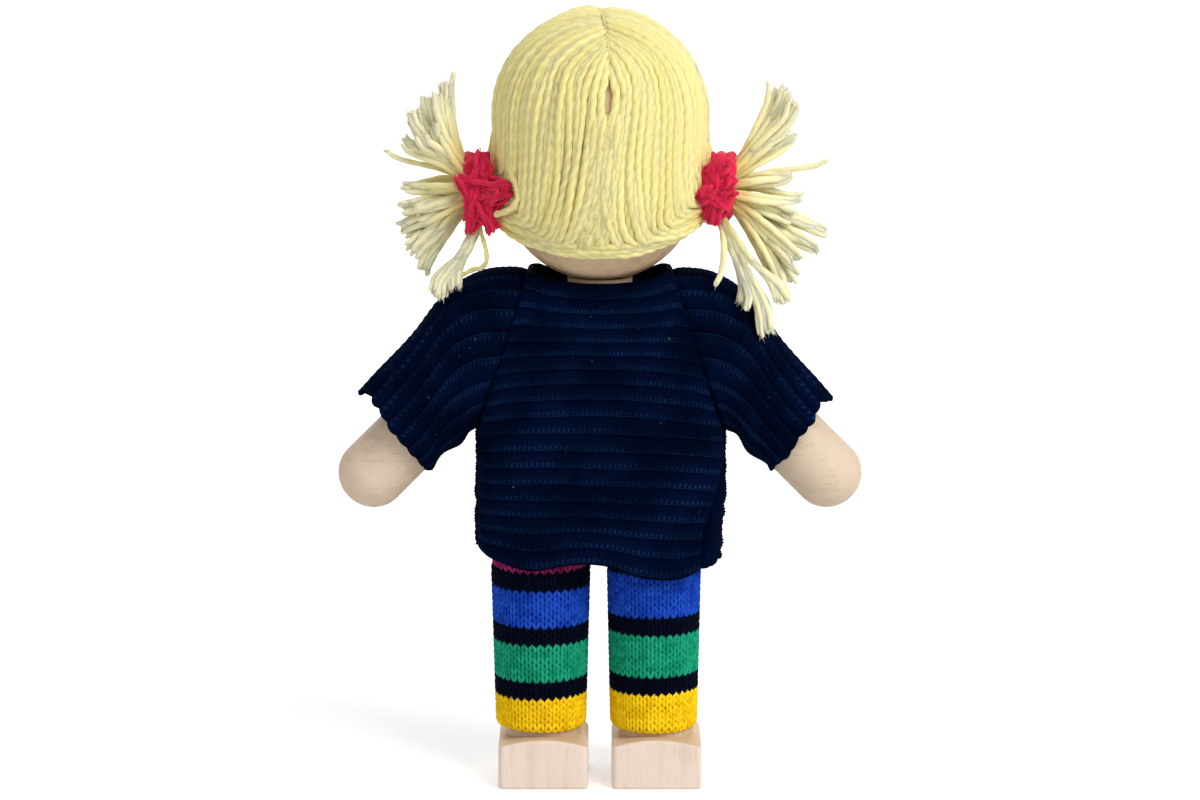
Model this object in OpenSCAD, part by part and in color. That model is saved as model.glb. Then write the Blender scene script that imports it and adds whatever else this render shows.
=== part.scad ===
// Wooden peg doll with a yarn wig, a ribbed sweater and striped leggings.
// It stands on its feet, faces -Y, and its left side is +X. Millimetres.

/* [Head and neck] */
// Radius of the turned head
head_r = 18.6; // [16:0.1:22]
// Straight length between the round top and the round underside of the head
head_straight = 12; // [6:0.5:20]
// Radius of the short neck on top of the torso
neck_r = 6; // [5.2:0.1:8]
// Height of the neck above the torso
neck_h = 3.4; // [2.6:0.1:6]
// Running gap between the head's flat and the neck
head_gap = 0.3; // [0.2:0.05:0.8]
// Radius of the peg glued in the head
neck_peg_r = 4; // [3:0.1:4.6]
// Length of the neck peg inside the head
neck_peg_in_head = 12; // [6:0.5:16]
// Length of the neck peg below the top of the neck
neck_peg_in_torso = 6.5; // [5:0.5:7]

/* [Yarn wig] */
// Thickness of the yarn over the wood
hair_t = 1.3; // [0.8:0.1:2.4]
// Width of the parting between the two halves
parting_w = 1; // [0.7:0.1:2]
// Radius of the thread that sews the yarn down along the parting
stitch_r = 0.32; // [0.2:0.02:0.34]
// Height of the wig's lower edge at the sides, above the head's flat
hair_side_h = 11.3; // [8:0.1:16]
// Height of the wig's lower edge at the nape, above the head's flat
hair_nape_h = 5.2; // [4:0.1:8]
// Height of the hairline over the middle of the face, above the head's flat
hair_front_h = 41.5; // [34:0.5:44]

/* [Bunches of hair] */
// Height of the bunches above the head's flat
bunch_h = 16.4; // [14:0.1:24]
// Radius of a bunch inside its tie
bunch_r = 5; // [3.6:0.1:6]
// Length of a bunch from the wig to where it opens
bunch_l = 5.2; // [4.6:0.1:9]
// Free length of the locks of the left bunch
left_lock_l = 18.6; // [12:0.2:22]
// Free length of the locks of the right bunch
right_lock_l = 20.8; // [12:0.2:22]
// Free length of the longest locks, which lie on the left shoulder
left_end_l = 20; // [16:0.2:24]
// Free length of the longest locks, which lie on the right shoulder
right_end_l = 27; // [16:0.2:28]
// Radius of a lock where it leaves the tie
lock_r = 1; // [0.7:0.05:1.1]
// Radius of a lock in its middle
lock_belly_r = 1.35; // [0.9:0.05:1.5]
// Radius of a lock at its cut end
lock_tip_r = 0.7; // [0.4:0.05:0.9]
// Number of locks in the fan of a bunch
lock_count = 11; // [7:1:14]
// Number of locks that lie on a shoulder
end_count = 4; // [2:1:5]
// Distance of the shoulder locks behind the middle of the head
end_back = 12; // [11.8:0.1:14]

/* [Hair ties] */
// Radius of the yarn of a tie
tie_r = 0.65; // [0.4:0.05:0.8]
// Clear space between two turns of a tie
tie_turn_gap = 0.5; // [0.45:0.05:0.9]
// Turns of the tie round the bunch
tie_turns = 2; // [1:1:3]
// Length of the loose ends of a tie
tie_tail_l = 7; // [4:0.5:10]

/* [Torso] */
// Height of the hip axle above the floor
hip_h = 50; // [46:0.5:60]
// Height of the torso above the hip axle
trunk_h = 42; // [38:0.5:50]
// Half width of the torso at the hips
torso_half_w = 18; // [17.6:0.1:21]
// Half width of the torso at the shoulders
chest_half_w = 10.3; // [9:0.1:10.5]
// Thickness of the torso block
torso_d = 16; // [14:0.5:16.5]
// Radius of the lugs that hold the hip axle
lug_r = 5.5; // [4.5:0.1:5.6]
// Radius of the hip axle
hip_axle_r = 2; // [1.5:0.1:2.6]

/* [Arms] */
// Distance of each shoulder pivot from the middle
shoulder_x = 17; // [16.8:0.1:20]
// Depth of the shoulder pegs below the top of the torso
shoulder_drop = 8.2; // [7.8:0.1:10]
// Radius of an arm
arm_r = 6.3; // [5:0.1:6.4]
// Length of an arm from its pivot to the middle of the round hand
arm_l = 36; // [30:0.5:44]
// Angle of an arm away from hanging straight down
arm_splay = 45; // [44:1:50]
// Radius of a shoulder peg
shoulder_peg_r = 2.5; // [1.8:0.1:2.6]
// Depth of a shoulder peg in the torso
shoulder_peg_in_torso = 7.5; // [5:0.5:8]
// Depth of a shoulder peg in the arm
shoulder_peg_in_arm = 8.8; // [6:0.2:9]

/* [Legs] */
// Distance of each leg from the middle
stance = 10.6; // [10.2:0.1:11.4]
// Radius of a leg
leg_r = 7; // [6:0.1:7]
// Thickness of the tongue on top of a leg
tongue_t = 8.2; // [6:0.1:8.4]
// Height of the leg's shoulder below the hip axle
leg_shoulder_drop = 6; // [5.8:0.1:8]
// Radius of the peg between leg and foot
foot_peg_r = 3; // [2:0.1:4]
// Length of the foot peg in the leg
foot_peg_in_leg = 8; // [5:0.5:12]

/* [Feet] */
// Width of a foot
foot_w = 16.8; // [15.4:0.1:18.4]
// Length of a foot
foot_l = 26; // [22:0.5:30]
// Distance of the heel behind the leg's axis
heel_back = 10; // [8.5:0.1:11]
// Height of a foot in the middle of its arched top
foot_h = 9.4; // [8:0.1:12]
// Height that the arched top falls to the sides
foot_arch = 1.2; // [0.6:0.1:2]
// Depth of the seat that the leg stands in
foot_seat = 1.5; // [1.3:0.1:2.4]
// Wood left under the foot peg
foot_floor = 3; // [2:0.1:4]
// Radius of the long edges of the sole
sole_round = 0.6; // [0.3:0.1:1]

/* [Sweater] */
// Thickness of the sweater's knit
sweater_t = 0.75; // [0.5:0.05:0.8]
// Room from the seat of the leggings to the outside of the sweater
sweater_ease = 3; // [2.7:0.1:3.6]
// Flare of the sweater on each side from the underarm to the hem
hem_flare = 0.4; // [0:0.1:2.4]
// Half depth of the sweater at the hem
sweater_half_d = 12; // [11.8:0.1:14]
// Depth of the hem below the hip axle
hem_drop = 7; // [5:0.5:9]
// Drop of the underarm below the highest place that clears the arm
underarm_ease = 0.1; // [0:0.1:1.5]
// Height of the neckline at the sides above the torso
collar_rise = 5; // [4:0.1:5.4]
// Depth of the neckline in the middle
collar_dip = 2; // [0.5:0.1:3]
// Half width of the neck opening
collar_half_w = 13.2; // [11:0.1:14]
// Half depth of the neck opening
collar_half_d = 8.6; // [7.4:0.1:10]
// Half depth of the armhole
armhole_half_d = 11; // [10.6:0.1:11.4]
// Height of the waves in the hem
hem_wave = 0.35; // [0:0.05:0.5]
// Gap between the panels at their seams
seam_gap = 0.3; // [0.2:0.05:0.6]
// Radius of the thread ridge along each side seam
side_seam_r = 0.55; // [0.3:0.05:0.8]

/* [Sleeves] */
// Distance of the cuff's lower edge from the middle
cuff_low_x = 31.3; // [30:0.1:34]
// Width of the cuff
cuff_w = 19.6; // [18.6:0.1:24]
// Angle of the cuff away from upright
cuff_tilt = 38; // [34:1:42]
// Half depth of the cuff
cuff_half_d = 9.3; // [8.8:0.1:10.4]
// Distance of the shoulder's bulge from the middle
shoulder_bulge_x = 31.3; // [28:0.1:34]

/* [Leggings] */
// Clearance of the leggings round the wooden leg
leg_ease = 0.35; // [0.2:0.05:0.6]
// Outer radius of the leggings at the ankle
ankle_r = 8.2; // [7.8:0.1:8.6]
// Outer radius of the leggings at the top of the leg
thigh_r = 9; // [8.4:0.1:9.4]
// Height of the leggings' hem above the floor
legging_hem_h = 10.9; // [9.8:0.1:16]
// Thickness of the seat of the leggings
seat_t = 0.8; // [0.5:0.1:1]
// Room from the torso to the outside of the seat of the leggings
seat_ease = 2.2; // [2:0.1:2.8]
// Half depth of the seat of the leggings
seat_half_d = 9.8; // [9.6:0.1:10.2]
// Height of the seat's waist above the hip axle
waist_rise = 13; // [11:0.5:14]

/* [Fits] */
// Clearance of a glued joint
glue_fit = 0.03; // [0.02:0.01:0.06]
// Clearance of a turning joint
running_fit = 0.06; // [0.04:0.01:0.1]
// Gap beside the tongues of the legs
side_fit = 0.3; // [0.2:0.05:0.4]

/* [Hidden] */
$fn = 64;
overrun = head_r + torso_half_w;

// Colours
wood = "#E0CBB4";
hair_yellow = "#EADD8A";
tie_red = "#C8203C";
navy = "#14244C";
stripe_blue = "#2F55C8";

// Heights above the floor
hip_z = hip_h;
torso_top_z = hip_z + trunk_h;
neck_top_z = torso_top_z + neck_h;
head_flat_z = neck_top_z + head_gap;
head_low_z = head_flat_z + sqrt(head_r * head_r - neck_r * neck_r);
shoulder_z = torso_top_z - shoulder_drop;
collar_z = torso_top_z + collar_rise;
hem_z = hip_z - hem_drop;
leg_top_z = hip_z - leg_shoulder_drop;
foot_seat_z = foot_h - foot_seat;
block_z = hip_z + thigh_r + side_fit;
waist_z = hip_z + waist_rise;
bunch_z = head_flat_z + bunch_h;

// Wig
hair_r = head_r + hair_t;
hair_side_z = head_flat_z + hair_side_h;
hair_nape_z = head_flat_z + hair_nape_h;
hair_front_z = head_flat_z + hair_front_h;
stitch_steps = 24;
stitch_end_angle = 3;
nape_y = sqrt(hair_r * hair_r - pow(head_low_z - hair_nape_z, 2));
side_y = nape_y / 2;
temple_y = -nape_y / 5;
head_high_z = head_low_z + head_straight;
brow_y = -sqrt(hair_r * hair_r - pow(max(0, hair_front_z - head_high_z), 2));

// Bunches
bunch_x = hair_r + glue_fit;
bunch_end_x = bunch_x + bunch_l;
fan_top_angle = 100;
fan_low_angle = -46;
end_top_angle = -50;
end_low_angle = -76;
golden_angle = 137.5;
lock_sides = 6;
lock_rings = 6;
lock_bend_share = 0.4;
lock_vary_share = 0.07;
end_bend_share = 0.4;
fan_turn_angle = 32;
end_start_top_angle = -4;
end_start_low_angle = -76;

// Ties
tie_path_r = bunch_r + running_fit + tie_r;
tie_pitch = 2 * tie_r + tie_turn_gap;
tie_x = bunch_x + running_fit + tie_r;
tie_rings = 24;
tie_sides = 6;

// Torso
slot_w = tongue_t + 2 * side_fit;
chamfer = chest_half_w / 4;
flank_z = block_z + torso_half_w / 2;

// Sweater
seat_half_w = torso_half_w + seat_ease;
sweater_half_w = seat_half_w + sweater_ease;
sweater_hem_half_w = sweater_half_w + hem_flare;
arm_gap = seam_gap;
// The lower line of a sleeve, from the underarm to the cuff, keeps clear of the arm inside it
sleeve_low_sum = shoulder_x + shoulder_z
    - (arm_r + arm_gap + sweater_t) * sqrt(2);
underarm_z = sleeve_low_sum - sweater_half_w - underarm_ease;
section_power = 3.6;
panel_steps = 20;
panel_rows = 10;
hem_waves = 3;
seat_round_share = 0.4;

// Sleeves
sleeve_steps = 20;
sleeve_rows = 8;
sleeve_gap = 2 * seam_gap;

// Points on a ring of n points round centre c, in the plane of vectors u and v
function ring(c, u, v, n) =
    [for (i = [0:n - 1]) c + u * cos(360 * i / n) + v * sin(360 * i / n)];

// Faces of a closed tube through rows of n points, with fan caps at both ends
function tube_faces(rows, n) = concat(
    [for (i = [1:n - 2]) [0, i, i + 1]],
    [for (r = [0:rows - 2], i = [0:n - 1])
        [r * n + i, (r + 1) * n + i, (r + 1) * n + (i + 1) % n]],
    [for (r = [0:rows - 2], i = [0:n - 1])
        [r * n + i, (r + 1) * n + (i + 1) % n, r * n + (i + 1) % n]],
    [for (i = [1:n - 2]) [(rows - 1) * n, (rows - 1) * n + i + 1, (rows - 1) * n + i]]);

function flat_list(rows) = [for (row = rows) for (p = row) p];

// A solid through rings of points, the rings turning left round the way they run
module ring_solid(rows) {
    polyhedron(points = flat_list(rows), faces = tube_faces(len(rows), len(rows[0])));
}

// An open sleeve of cloth: outer rings one way and inner rings back
module cloth_tube(outer, inner) {
    n = len(outer[0]);
    rows = len(outer);
    loop = concat(outer, [for (r = [rows - 1:-1:0]) inner[r]]);
    total = 2 * rows;
    polyhedron(points = flat_list(loop), faces = concat(
        [for (r = [0:total - 1], i = [0:n - 1])
            [r * n + i, ((r + 1) % total) * n + (i + 1) % n, ((r + 1) % total) * n + i]],
        [for (r = [0:total - 1], i = [0:n - 1])
            [r * n + i, r * n + (i + 1) % n, ((r + 1) % total) * n + (i + 1) % n]]));
}

// A panel of cloth: an outer and an inner grid of points joined round their edges
module cloth_panel(outer, inner) {
    rows = len(outer);
    n = len(outer[0]);
    back = rows * n;
    edge = concat(
        [for (i = [0:n - 1]) i],
        [for (r = [1:rows - 1]) r * n + n - 1],
        [for (i = [n - 2:-1:0]) (rows - 1) * n + i],
        [for (r = [rows - 2:-1:1]) r * n]);
    m = len(edge);
    polyhedron(points = concat(flat_list(outer), flat_list(inner)), faces = concat(
        [for (r = [0:rows - 2], i = [0:n - 2]) [r * n + i, (r + 1) * n + i, (r + 1) * n + i + 1]],
        [for (r = [0:rows - 2], i = [0:n - 2]) [r * n + i, (r + 1) * n + i + 1, r * n + i + 1]],
        [for (r = [0:rows - 2], i = [0:n - 2])
            [back + r * n + i, back + (r + 1) * n + i + 1, back + (r + 1) * n + i]],
        [for (r = [0:rows - 2], i = [0:n - 2])
            [back + r * n + i, back + r * n + i + 1, back + (r + 1) * n + i + 1]],
        [for (i = [0:m - 1]) [edge[i], edge[(i + 1) % m], back + edge[(i + 1) % m]]],
        [for (i = [0:m - 1]) [edge[i], back + edge[(i + 1) % m], back + edge[i]]]));
}

// A rod with round ends, from the middle of one round end up to the other
module round_rod(r, l) {
    rotate_extrude()
        intersection() {
            union() {
                circle(r);
                translate([0, l])
                    circle(r);
                translate([-r, 0])
                    square([2 * r, l]);
            }
            translate([0, -r])
                square([r, l + 2 * r]);
        }
}

module rod_x(r, x0, x1, z) {
    translate([x0, 0, z])
        rotate([0, 90, 0])
            cylinder(r = r, h = x1 - x0);
}

// Mirrors a left piece to the right
module to_side(side) {
    if (side > 0)
        children();
    else
        mirror([1, 0, 0])
            children();
}

// Torso

module lug(x0, x1) {
    translate([x0, 0, 0])
        rotate([90, 0, 90])
            linear_extrude(x1 - x0)
                union() {
                    translate([0, hip_z])
                        circle(lug_r);
                    translate([-lug_r, hip_z])
                        square([2 * lug_r, block_z + chamfer - hip_z]);
                }
}

module torso() {
    slot_in = stance - slot_w / 2;
    slot_out = stance + slot_w / 2;
    color(wood)
        difference() {
            union() {
                translate([0, torso_d / 2, 0])
                    rotate([90, 0, 0])
                        linear_extrude(torso_d)
                            polygon([
                                [-torso_half_w, block_z],
                                [torso_half_w, block_z],
                                [torso_half_w, flank_z],
                                [chest_half_w, shoulder_z - shoulder_peg_r],
                                [chest_half_w, torso_top_z - chamfer],
                                [chest_half_w - chamfer, torso_top_z],
                                [chamfer - chest_half_w, torso_top_z],
                                [-chest_half_w, torso_top_z - chamfer],
                                [-chest_half_w, shoulder_z - shoulder_peg_r],
                                [-torso_half_w, flank_z]]);
                lug(-slot_in, slot_in);
                lug(slot_out, torso_half_w);
                lug(-torso_half_w, -slot_out);
                translate([0, 0, torso_top_z - chamfer])
                    cylinder(r = neck_r, h = neck_h + chamfer);
            }
            rod_x(hip_axle_r + glue_fit, -overrun, overrun, hip_z);
            for (side = [1, -1])
                to_side(side)
                    rod_x(shoulder_peg_r + running_fit,
                        chest_half_w - shoulder_peg_in_torso - running_fit,
                        overrun, shoulder_z);
            translate([0, 0, neck_top_z - neck_peg_in_torso - running_fit])
                cylinder(r = neck_peg_r + running_fit, h = neck_peg_in_torso + overrun);
        }
}

module hip_axle() {
    color(wood)
        rod_x(hip_axle_r, -torso_half_w, torso_half_w, hip_z);
}

// Head

module head() {
    color(wood)
        difference() {
            translate([0, 0, head_low_z])
                round_rod(head_r, head_straight);
            translate([-overrun, -overrun, head_flat_z - overrun])
                cube([2 * overrun, 2 * overrun, overrun]);
            translate([0, 0, head_flat_z - overrun])
                cylinder(r = neck_peg_r + glue_fit, h = neck_peg_in_head + glue_fit + overrun);
        }
}

module neck_peg() {
    color(wood)
        translate([0, 0, neck_top_z - neck_peg_in_torso])
            cylinder(r = neck_peg_r, h = neck_peg_in_torso + head_gap + neck_peg_in_head);
}

// The part of the head that the wig covers, as a side view carried across
module wig_region(x0, x1) {
    translate([x0, 0, 0])
        rotate([90, 0, 90])
            linear_extrude(x1 - x0)
                polygon([
                    [temple_y, hair_side_z],
                    [side_y, hair_side_z],
                    [nape_y, hair_nape_z],
                    [hair_r + overrun, hair_nape_z],
                    [hair_r + overrun, head_high_z + hair_r + overrun],
                    [brow_y - overrun, head_high_z + hair_r + overrun],
                    [brow_y - overrun, hair_front_z],
                    [brow_y, hair_front_z]]);
}

module wig_half() {
    difference() {
        intersection() {
            translate([0, 0, head_low_z])
                round_rod(hair_r, head_straight);
            wig_region(parting_w / 2, hair_r + overrun);
        }
        translate([0, 0, head_low_z])
            round_rod(head_r + glue_fit, head_straight);
    }
}

module hair_left() {
    color(hair_yellow)
        wig_half();
}

module hair_right() {
    color(hair_yellow)
        mirror([1, 0, 0])
            wig_half();
}

// A meridian of the head at radius r: angle 0 looks forward, 90 up and 180 back,
// and past 180 the path runs down the back and under the round underside
function meridian(r, a) = [0, -r * cos(a), (a > 180 ? head_low_z : head_high_z) + r * sin(a)];

// The thread lies on the wood in the parting, over the crown and down to the nape
module parting_stitch() {
    path_r = head_r + 2 * glue_fit + stitch_r;
    first = asin((hair_front_z - head_high_z) / hair_r) + stitch_end_angle;
    last = 180 + asin((head_low_z - hair_nape_z) / hair_r) - stitch_end_angle;
    path = concat(
        [for (k = [0:stitch_steps]) meridian(path_r, first + (180 - first) * k / stitch_steps)],
        [for (k = [1:stitch_steps / 2])
            meridian(path_r, 180 + (last - 180) * 2 * k / stitch_steps)]);
    color(hair_yellow)
        ring_solid(tube_rows(path, [for (p = path) stitch_r], lock_sides, [1, 0, 0]));
}

// Bunches: locks as tapered tubes on a bent path, fanned out from the tie

function bend_point(a, b, c, t) = a * (1 - t) * (1 - t) + b * 2 * t * (1 - t) + c * t * t;
function unit(v) = v / norm(v);

// Rings along a path that never runs along the direction called level
function tube_rows(path, radii, sides, level) = [for (k = [0:len(path) - 1])
    let (ahead = path[min(k + 1, len(path) - 1)],
        behind = path[max(k - 1, 0)],
        way = unit(ahead - behind),
        side = unit(cross(way, level)),
        up = cross(way, side))
    ring(path[k], side * radii[k], up * radii[k], sides)];

// A lock swells from the tie to its middle and narrows to its cut end
module lock(start, bend, tip) {
    shares = [for (k = [0:lock_rings - 1]) k / (lock_rings - 1)];
    path = [for (t = shares) bend_point(start, bend, tip, t)];
    radii = [for (t = shares) bend_point(lock_r, lock_belly_r * 2 - lock_r / 2 - lock_tip_r / 2,
        lock_tip_r, t)];
    ring_solid(tube_rows(path, radii, lock_sides, cross(bend - start, tip - bend)));
}

// Locks start side by side on the end of the tied part and fan out, high ones up,
// low ones down and those behind backwards
module bunch(lock_l) {
    spread = bunch_r - lock_r;
    fan_mid_angle = (fan_top_angle + fan_low_angle) / 2;
    fan_half_angle = (fan_top_angle - fan_low_angle) / 2;
    color(hair_yellow)
        union() {
            rod_x(bunch_r, bunch_x, bunch_end_x, bunch_z);
            for (i = [0:lock_count - 1]) {
                r_share = sqrt((i + 0.5) / lock_count);
                y_share = r_share * cos(golden_angle * i);
                z_share = r_share * sin(golden_angle * i);
                lift = fan_mid_angle + fan_half_angle * z_share;
                turn = fan_turn_angle * y_share;
                l = lock_l * (1 + lock_vary_share * sin(golden_angle * i * 2));
                start = [bunch_end_x + glue_fit, spread * y_share, bunch_z + spread * z_share];
                tip = [bunch_end_x + l * cos(lift) * cos(turn), l * sin(turn),
                    bunch_z + l * sin(lift) * cos(turn)];
                lock(start, start + [l * lock_bend_share, 0, 0], tip);
            }
        }
}

// The longest locks leave the back of the tie and lie behind the shoulder
module bunch_ends(lock_l) {
    start_r = bunch_r + lock_r;
    color(hair_yellow)
        union()
            for (i = [0:end_count - 1]) {
                share = i / (end_count - 1);
                lift = end_top_angle + (end_low_angle - end_top_angle) * share;
                round_angle = end_start_top_angle + (end_start_low_angle - end_start_top_angle) * share;
                l = lock_l * (1 + lock_vary_share * sin(golden_angle * i));
                start = [bunch_end_x + lock_r, start_r * cos(round_angle),
                    bunch_z + start_r * sin(round_angle)];
                tip = [bunch_end_x + l * cos(lift), end_back + lock_r * (i % 2),
                    bunch_z + l * sin(lift)];
                bend = [bunch_end_x + lock_r * (end_count - i + 1), end_back,
                    bunch_z - l * end_bend_share];
                lock(start, bend, tip);
            }
}

module left_bunch() {
    bunch(left_lock_l);
}

module right_bunch() {
    mirror([1, 0, 0])
        bunch(right_lock_l);
}

module left_bunch_ends() {
    bunch_ends(left_end_l);
}

module right_bunch_ends() {
    mirror([1, 0, 0])
        bunch_ends(right_end_l);
}

// Ties: one length of yarn, a loose end, the turns and the other loose end

function tie_point(turn) = [
    tie_x + tie_pitch * turn,
    tie_path_r * cos(360 * turn),
    bunch_z + tie_path_r * sin(360 * turn)];

tie_winding = [for (k = [0:tie_turns * tie_rings]) tie_point(k / tie_rings)];
tie_first = tie_winding[0];
tie_last = tie_winding[len(tie_winding) - 1];
tie_tail_steps = 3;
// The loose ends leave the back of the bunch, one down and one up
tie_path = concat(
    [for (k = [tie_tail_steps:-1:1])
        let (t = k / tie_tail_steps)
        tie_first + [0, tie_tail_l * t * t / 3, -tie_tail_l * t]],
    tie_winding,
    [for (k = [1:tie_tail_steps])
        let (t = k / tie_tail_steps)
        tie_last + [0, tie_tail_l * t * t / 3, tie_tail_l * t]]);

// Least distance between two turns, measured on the points of the path
tie_least = min([for (i = [0:len(tie_winding) - 1 - tie_rings / 2])
    min([for (j = [i + tie_rings / 2:len(tie_winding) - 1])
        norm(tie_winding[i] - tie_winding[j])])]);
echo(least_gap_of_a_tie_to_itself = tie_least - 2 * tie_r);

module hair_tie() {
    color(tie_red)
        ring_solid(tube_rows(tie_path, [for (p = tie_path) tie_r], tie_sides, [1, 0, 0]));
}

module left_hair_tie() {
    hair_tie();
}

module right_hair_tie() {
    mirror([1, 0, 0])
        hair_tie();
}

// Sweater

// Share of the way from the underarm up to the neckline
function raglan(z) = max(0, min(1, (z - underarm_z) / (collar_z - underarm_z)));

function panel_half_w(z) = z < underarm_z
    ? sweater_half_w + (sweater_hem_half_w - sweater_half_w)
        * (underarm_z - z) / (underarm_z - hem_z)
    : sweater_half_w + (collar_half_w - sweater_half_w) * raglan(z);

function panel_edge_y(z) = armhole_half_d * sqrt(max(0, 1 - pow(2 * raglan(z) - 1, 2)))
    * (z < underarm_z ? 0 : 1);

function panel_mid_y(z) = sweater_half_d + (collar_half_d - sweater_half_d) * pow(raglan(z), 3);

// A point of the panel at share s across, from -1 to 1, and share v up, inset by the wall
function panel_point(s, v, wall, side) =
    let (top = collar_z - collar_dip * (1 - s * s),
        z = hem_z + (top - hem_z) * v,
        edge_y = max(0, panel_edge_y(z) - wall),
        mid_y = max(edge_y, panel_mid_y(z) - wall),
        bulge = pow(max(0, 1 - pow(abs(s), section_power)), 1 / section_power),
        wave = hem_wave * cos(360 * hem_waves * s) * (1 - v) * (1 - v) * bulge)
    [(panel_half_w(z) - wall) * s, side * (seam_gap / 2 + edge_y + (mid_y - edge_y) * bulge + wave), z];

function panel_grid(wall, side) = [for (r = [0:panel_rows])
    [for (i = [0:panel_steps])
        panel_point(sin(180 * i / panel_steps - 90), r / panel_rows, wall, side)]];

module sweater_panel(side) {
    outer = panel_grid(0, side);
    inner = panel_grid(sweater_t, side);
    color(navy)
        if (side > 0)
            cloth_panel(inner, outer);
        else
            cloth_panel(outer, inner);
}

module sweater_front() {
    sweater_panel(-1);
}

module sweater_back() {
    sweater_panel(1);
}

// A ridge of thread that binds the two panels, a little outside them
module side_seam() {
    low = [sweater_hem_half_w + side_seam_r + glue_fit, 0, hem_z];
    high = [sweater_half_w + side_seam_r + glue_fit, 0, underarm_z - side_seam_r];
    color(navy)
        ring_solid(tube_rows([low, high], [side_seam_r, side_seam_r], lock_sides, [0, 1, 0]));
}

module left_side_seam() {
    side_seam();
}

module right_side_seam() {
    mirror([1, 0, 0])
        side_seam();
}

// Sleeves: rings from the armhole to the cuff

cuff_low = [cuff_low_x, sleeve_low_sum - cuff_low_x];
cuff_high = cuff_low + cuff_w * [sin(cuff_tilt), cos(cuff_tilt)];
armhole_low = [sweater_half_w, underarm_z];
armhole_high = [collar_half_w, collar_z];
armhole_way = unit(armhole_high - armhole_low);
armhole_out = [armhole_way.y, -armhole_way.x] * sleeve_gap;
shoulder_bulge = [shoulder_bulge_x, collar_z + head_gap];

// Ring of the sleeve at share t of its length, inset by the wall
function sleeve_ring(t, wall) =
    let (low = (armhole_low + armhole_out) * (1 - t) + cuff_low * t,
        high = bend_point(armhole_high + armhole_out, shoulder_bulge, cuff_high, t),
        mid = (low + high) / 2,
        half = (high - low) / 2,
        long = half * (1 - wall / norm(half)),
        deep = armhole_half_d + (cuff_half_d - armhole_half_d) * t - wall)
    ring([mid.x, 0, mid.y], [long.x, 0, long.y], [0, deep, 0], sleeve_steps);

module sleeve() {
    color(navy)
        cloth_tube(
            [for (r = [0:sleeve_rows]) sleeve_ring(r / sleeve_rows, 0)],
            [for (r = [0:sleeve_rows]) sleeve_ring(r / sleeve_rows, sweater_t)]);
}

module left_sleeve() {
    sleeve();
}

module right_sleeve() {
    mirror([1, 0, 0])
        sleeve();
}

// Arms

module arm() {
    color(wood)
        difference() {
            translate([shoulder_x, 0, shoulder_z])
                rotate([0, 180 - arm_splay, 0])
                    round_rod(arm_r, arm_l);
            rod_x(shoulder_peg_r + glue_fit, 0,
                shoulder_x - arm_r + shoulder_peg_in_arm + glue_fit, shoulder_z);
        }
}

module shoulder_peg() {
    color(wood)
        rod_x(shoulder_peg_r, chest_half_w - shoulder_peg_in_torso,
            shoulder_x - arm_r + shoulder_peg_in_arm, shoulder_z);
}

module left_arm() {
    arm();
}

module right_arm() {
    mirror([1, 0, 0])
        arm();
}

module left_shoulder_peg() {
    shoulder_peg();
}

module right_shoulder_peg() {
    mirror([1, 0, 0])
        shoulder_peg();
}

// Legs

module leg(side) {
    tongue_half_d = sqrt(leg_r * leg_r - tongue_t * tongue_t / 4);
    color(wood)
        difference() {
            union() {
                translate([side * stance, 0, foot_seat_z])
                    cylinder(r = leg_r, h = leg_top_z - foot_seat_z);
                translate([side * stance - tongue_t / 2, 0, 0])
                    rotate([90, 0, 90])
                        linear_extrude(tongue_t)
                            union() {
                                translate([0, hip_z])
                                    circle(tongue_half_d);
                                translate([-tongue_half_d, leg_top_z - tongue_half_d])
                                    square([2 * tongue_half_d, hip_z - leg_top_z + tongue_half_d]);
                            }
            }
            rod_x(hip_axle_r + running_fit, -overrun, overrun, hip_z);
            translate([side * stance, 0, foot_seat_z - overrun])
                cylinder(r = foot_peg_r + glue_fit, h = overrun + foot_peg_in_leg + glue_fit);
        }
}

module foot_peg(side) {
    color(wood)
        translate([side * stance, 0, foot_floor])
            cylinder(r = foot_peg_r, h = foot_seat_z - foot_floor + foot_peg_in_leg);
}

// A block with an arched top, a square heel and a rounded toe
module foot(side) {
    half_w = foot_w / 2;
    toe_y = heel_back - foot_l;
    arch_r = (half_w * half_w + foot_arch * foot_arch) / (2 * foot_arch);
    color(wood)
        difference() {
            intersection() {
                translate([side * stance, 0, 0])
                    linear_extrude(foot_h)
                        union() {
                            translate([-half_w, toe_y + half_w])
                                square([foot_w, foot_l - half_w]);
                            translate([0, toe_y + half_w])
                                circle(half_w);
                        }
                translate([side * stance, heel_back + overrun, foot_h - arch_r])
                    rotate([90, 0, 0])
                        cylinder(r = arch_r, h = foot_l + 2 * overrun, $fn = 128);
            }
            for (edge = [1, -1])
                translate([side * stance + edge * half_w, toe_y - overrun, 0])
                    rotate([0, 45, 0])
                        translate([-sole_round, 0, -sole_round])
                            cube([2 * sole_round, foot_l + 2 * overrun, 2 * sole_round]);
            translate([side * stance, 0, foot_seat_z - glue_fit])
                cylinder(r = leg_r + glue_fit, h = foot_h);
            translate([side * stance, 0, foot_floor - glue_fit])
                cylinder(r = foot_peg_r + glue_fit, h = foot_h);
        }
}

module left_leg() {
    leg(1);
}

module right_leg() {
    leg(-1);
}

module left_foot() {
    foot(1);
}

module right_foot() {
    foot(-1);
}

module left_foot_peg() {
    foot_peg(1);
}

module right_foot_peg() {
    foot_peg(-1);
}

// Leggings

module legging(side) {
    inner_r = leg_r + leg_ease;
    top_z = leg_top_z - side_fit;
    color(stripe_blue)
        translate([side * stance, 0, 0])
            rotate_extrude()
                polygon([
                    [inner_r, legging_hem_h],
                    [ankle_r, legging_hem_h],
                    [thigh_r, top_z],
                    [inner_r, top_z]]);
}

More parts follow.
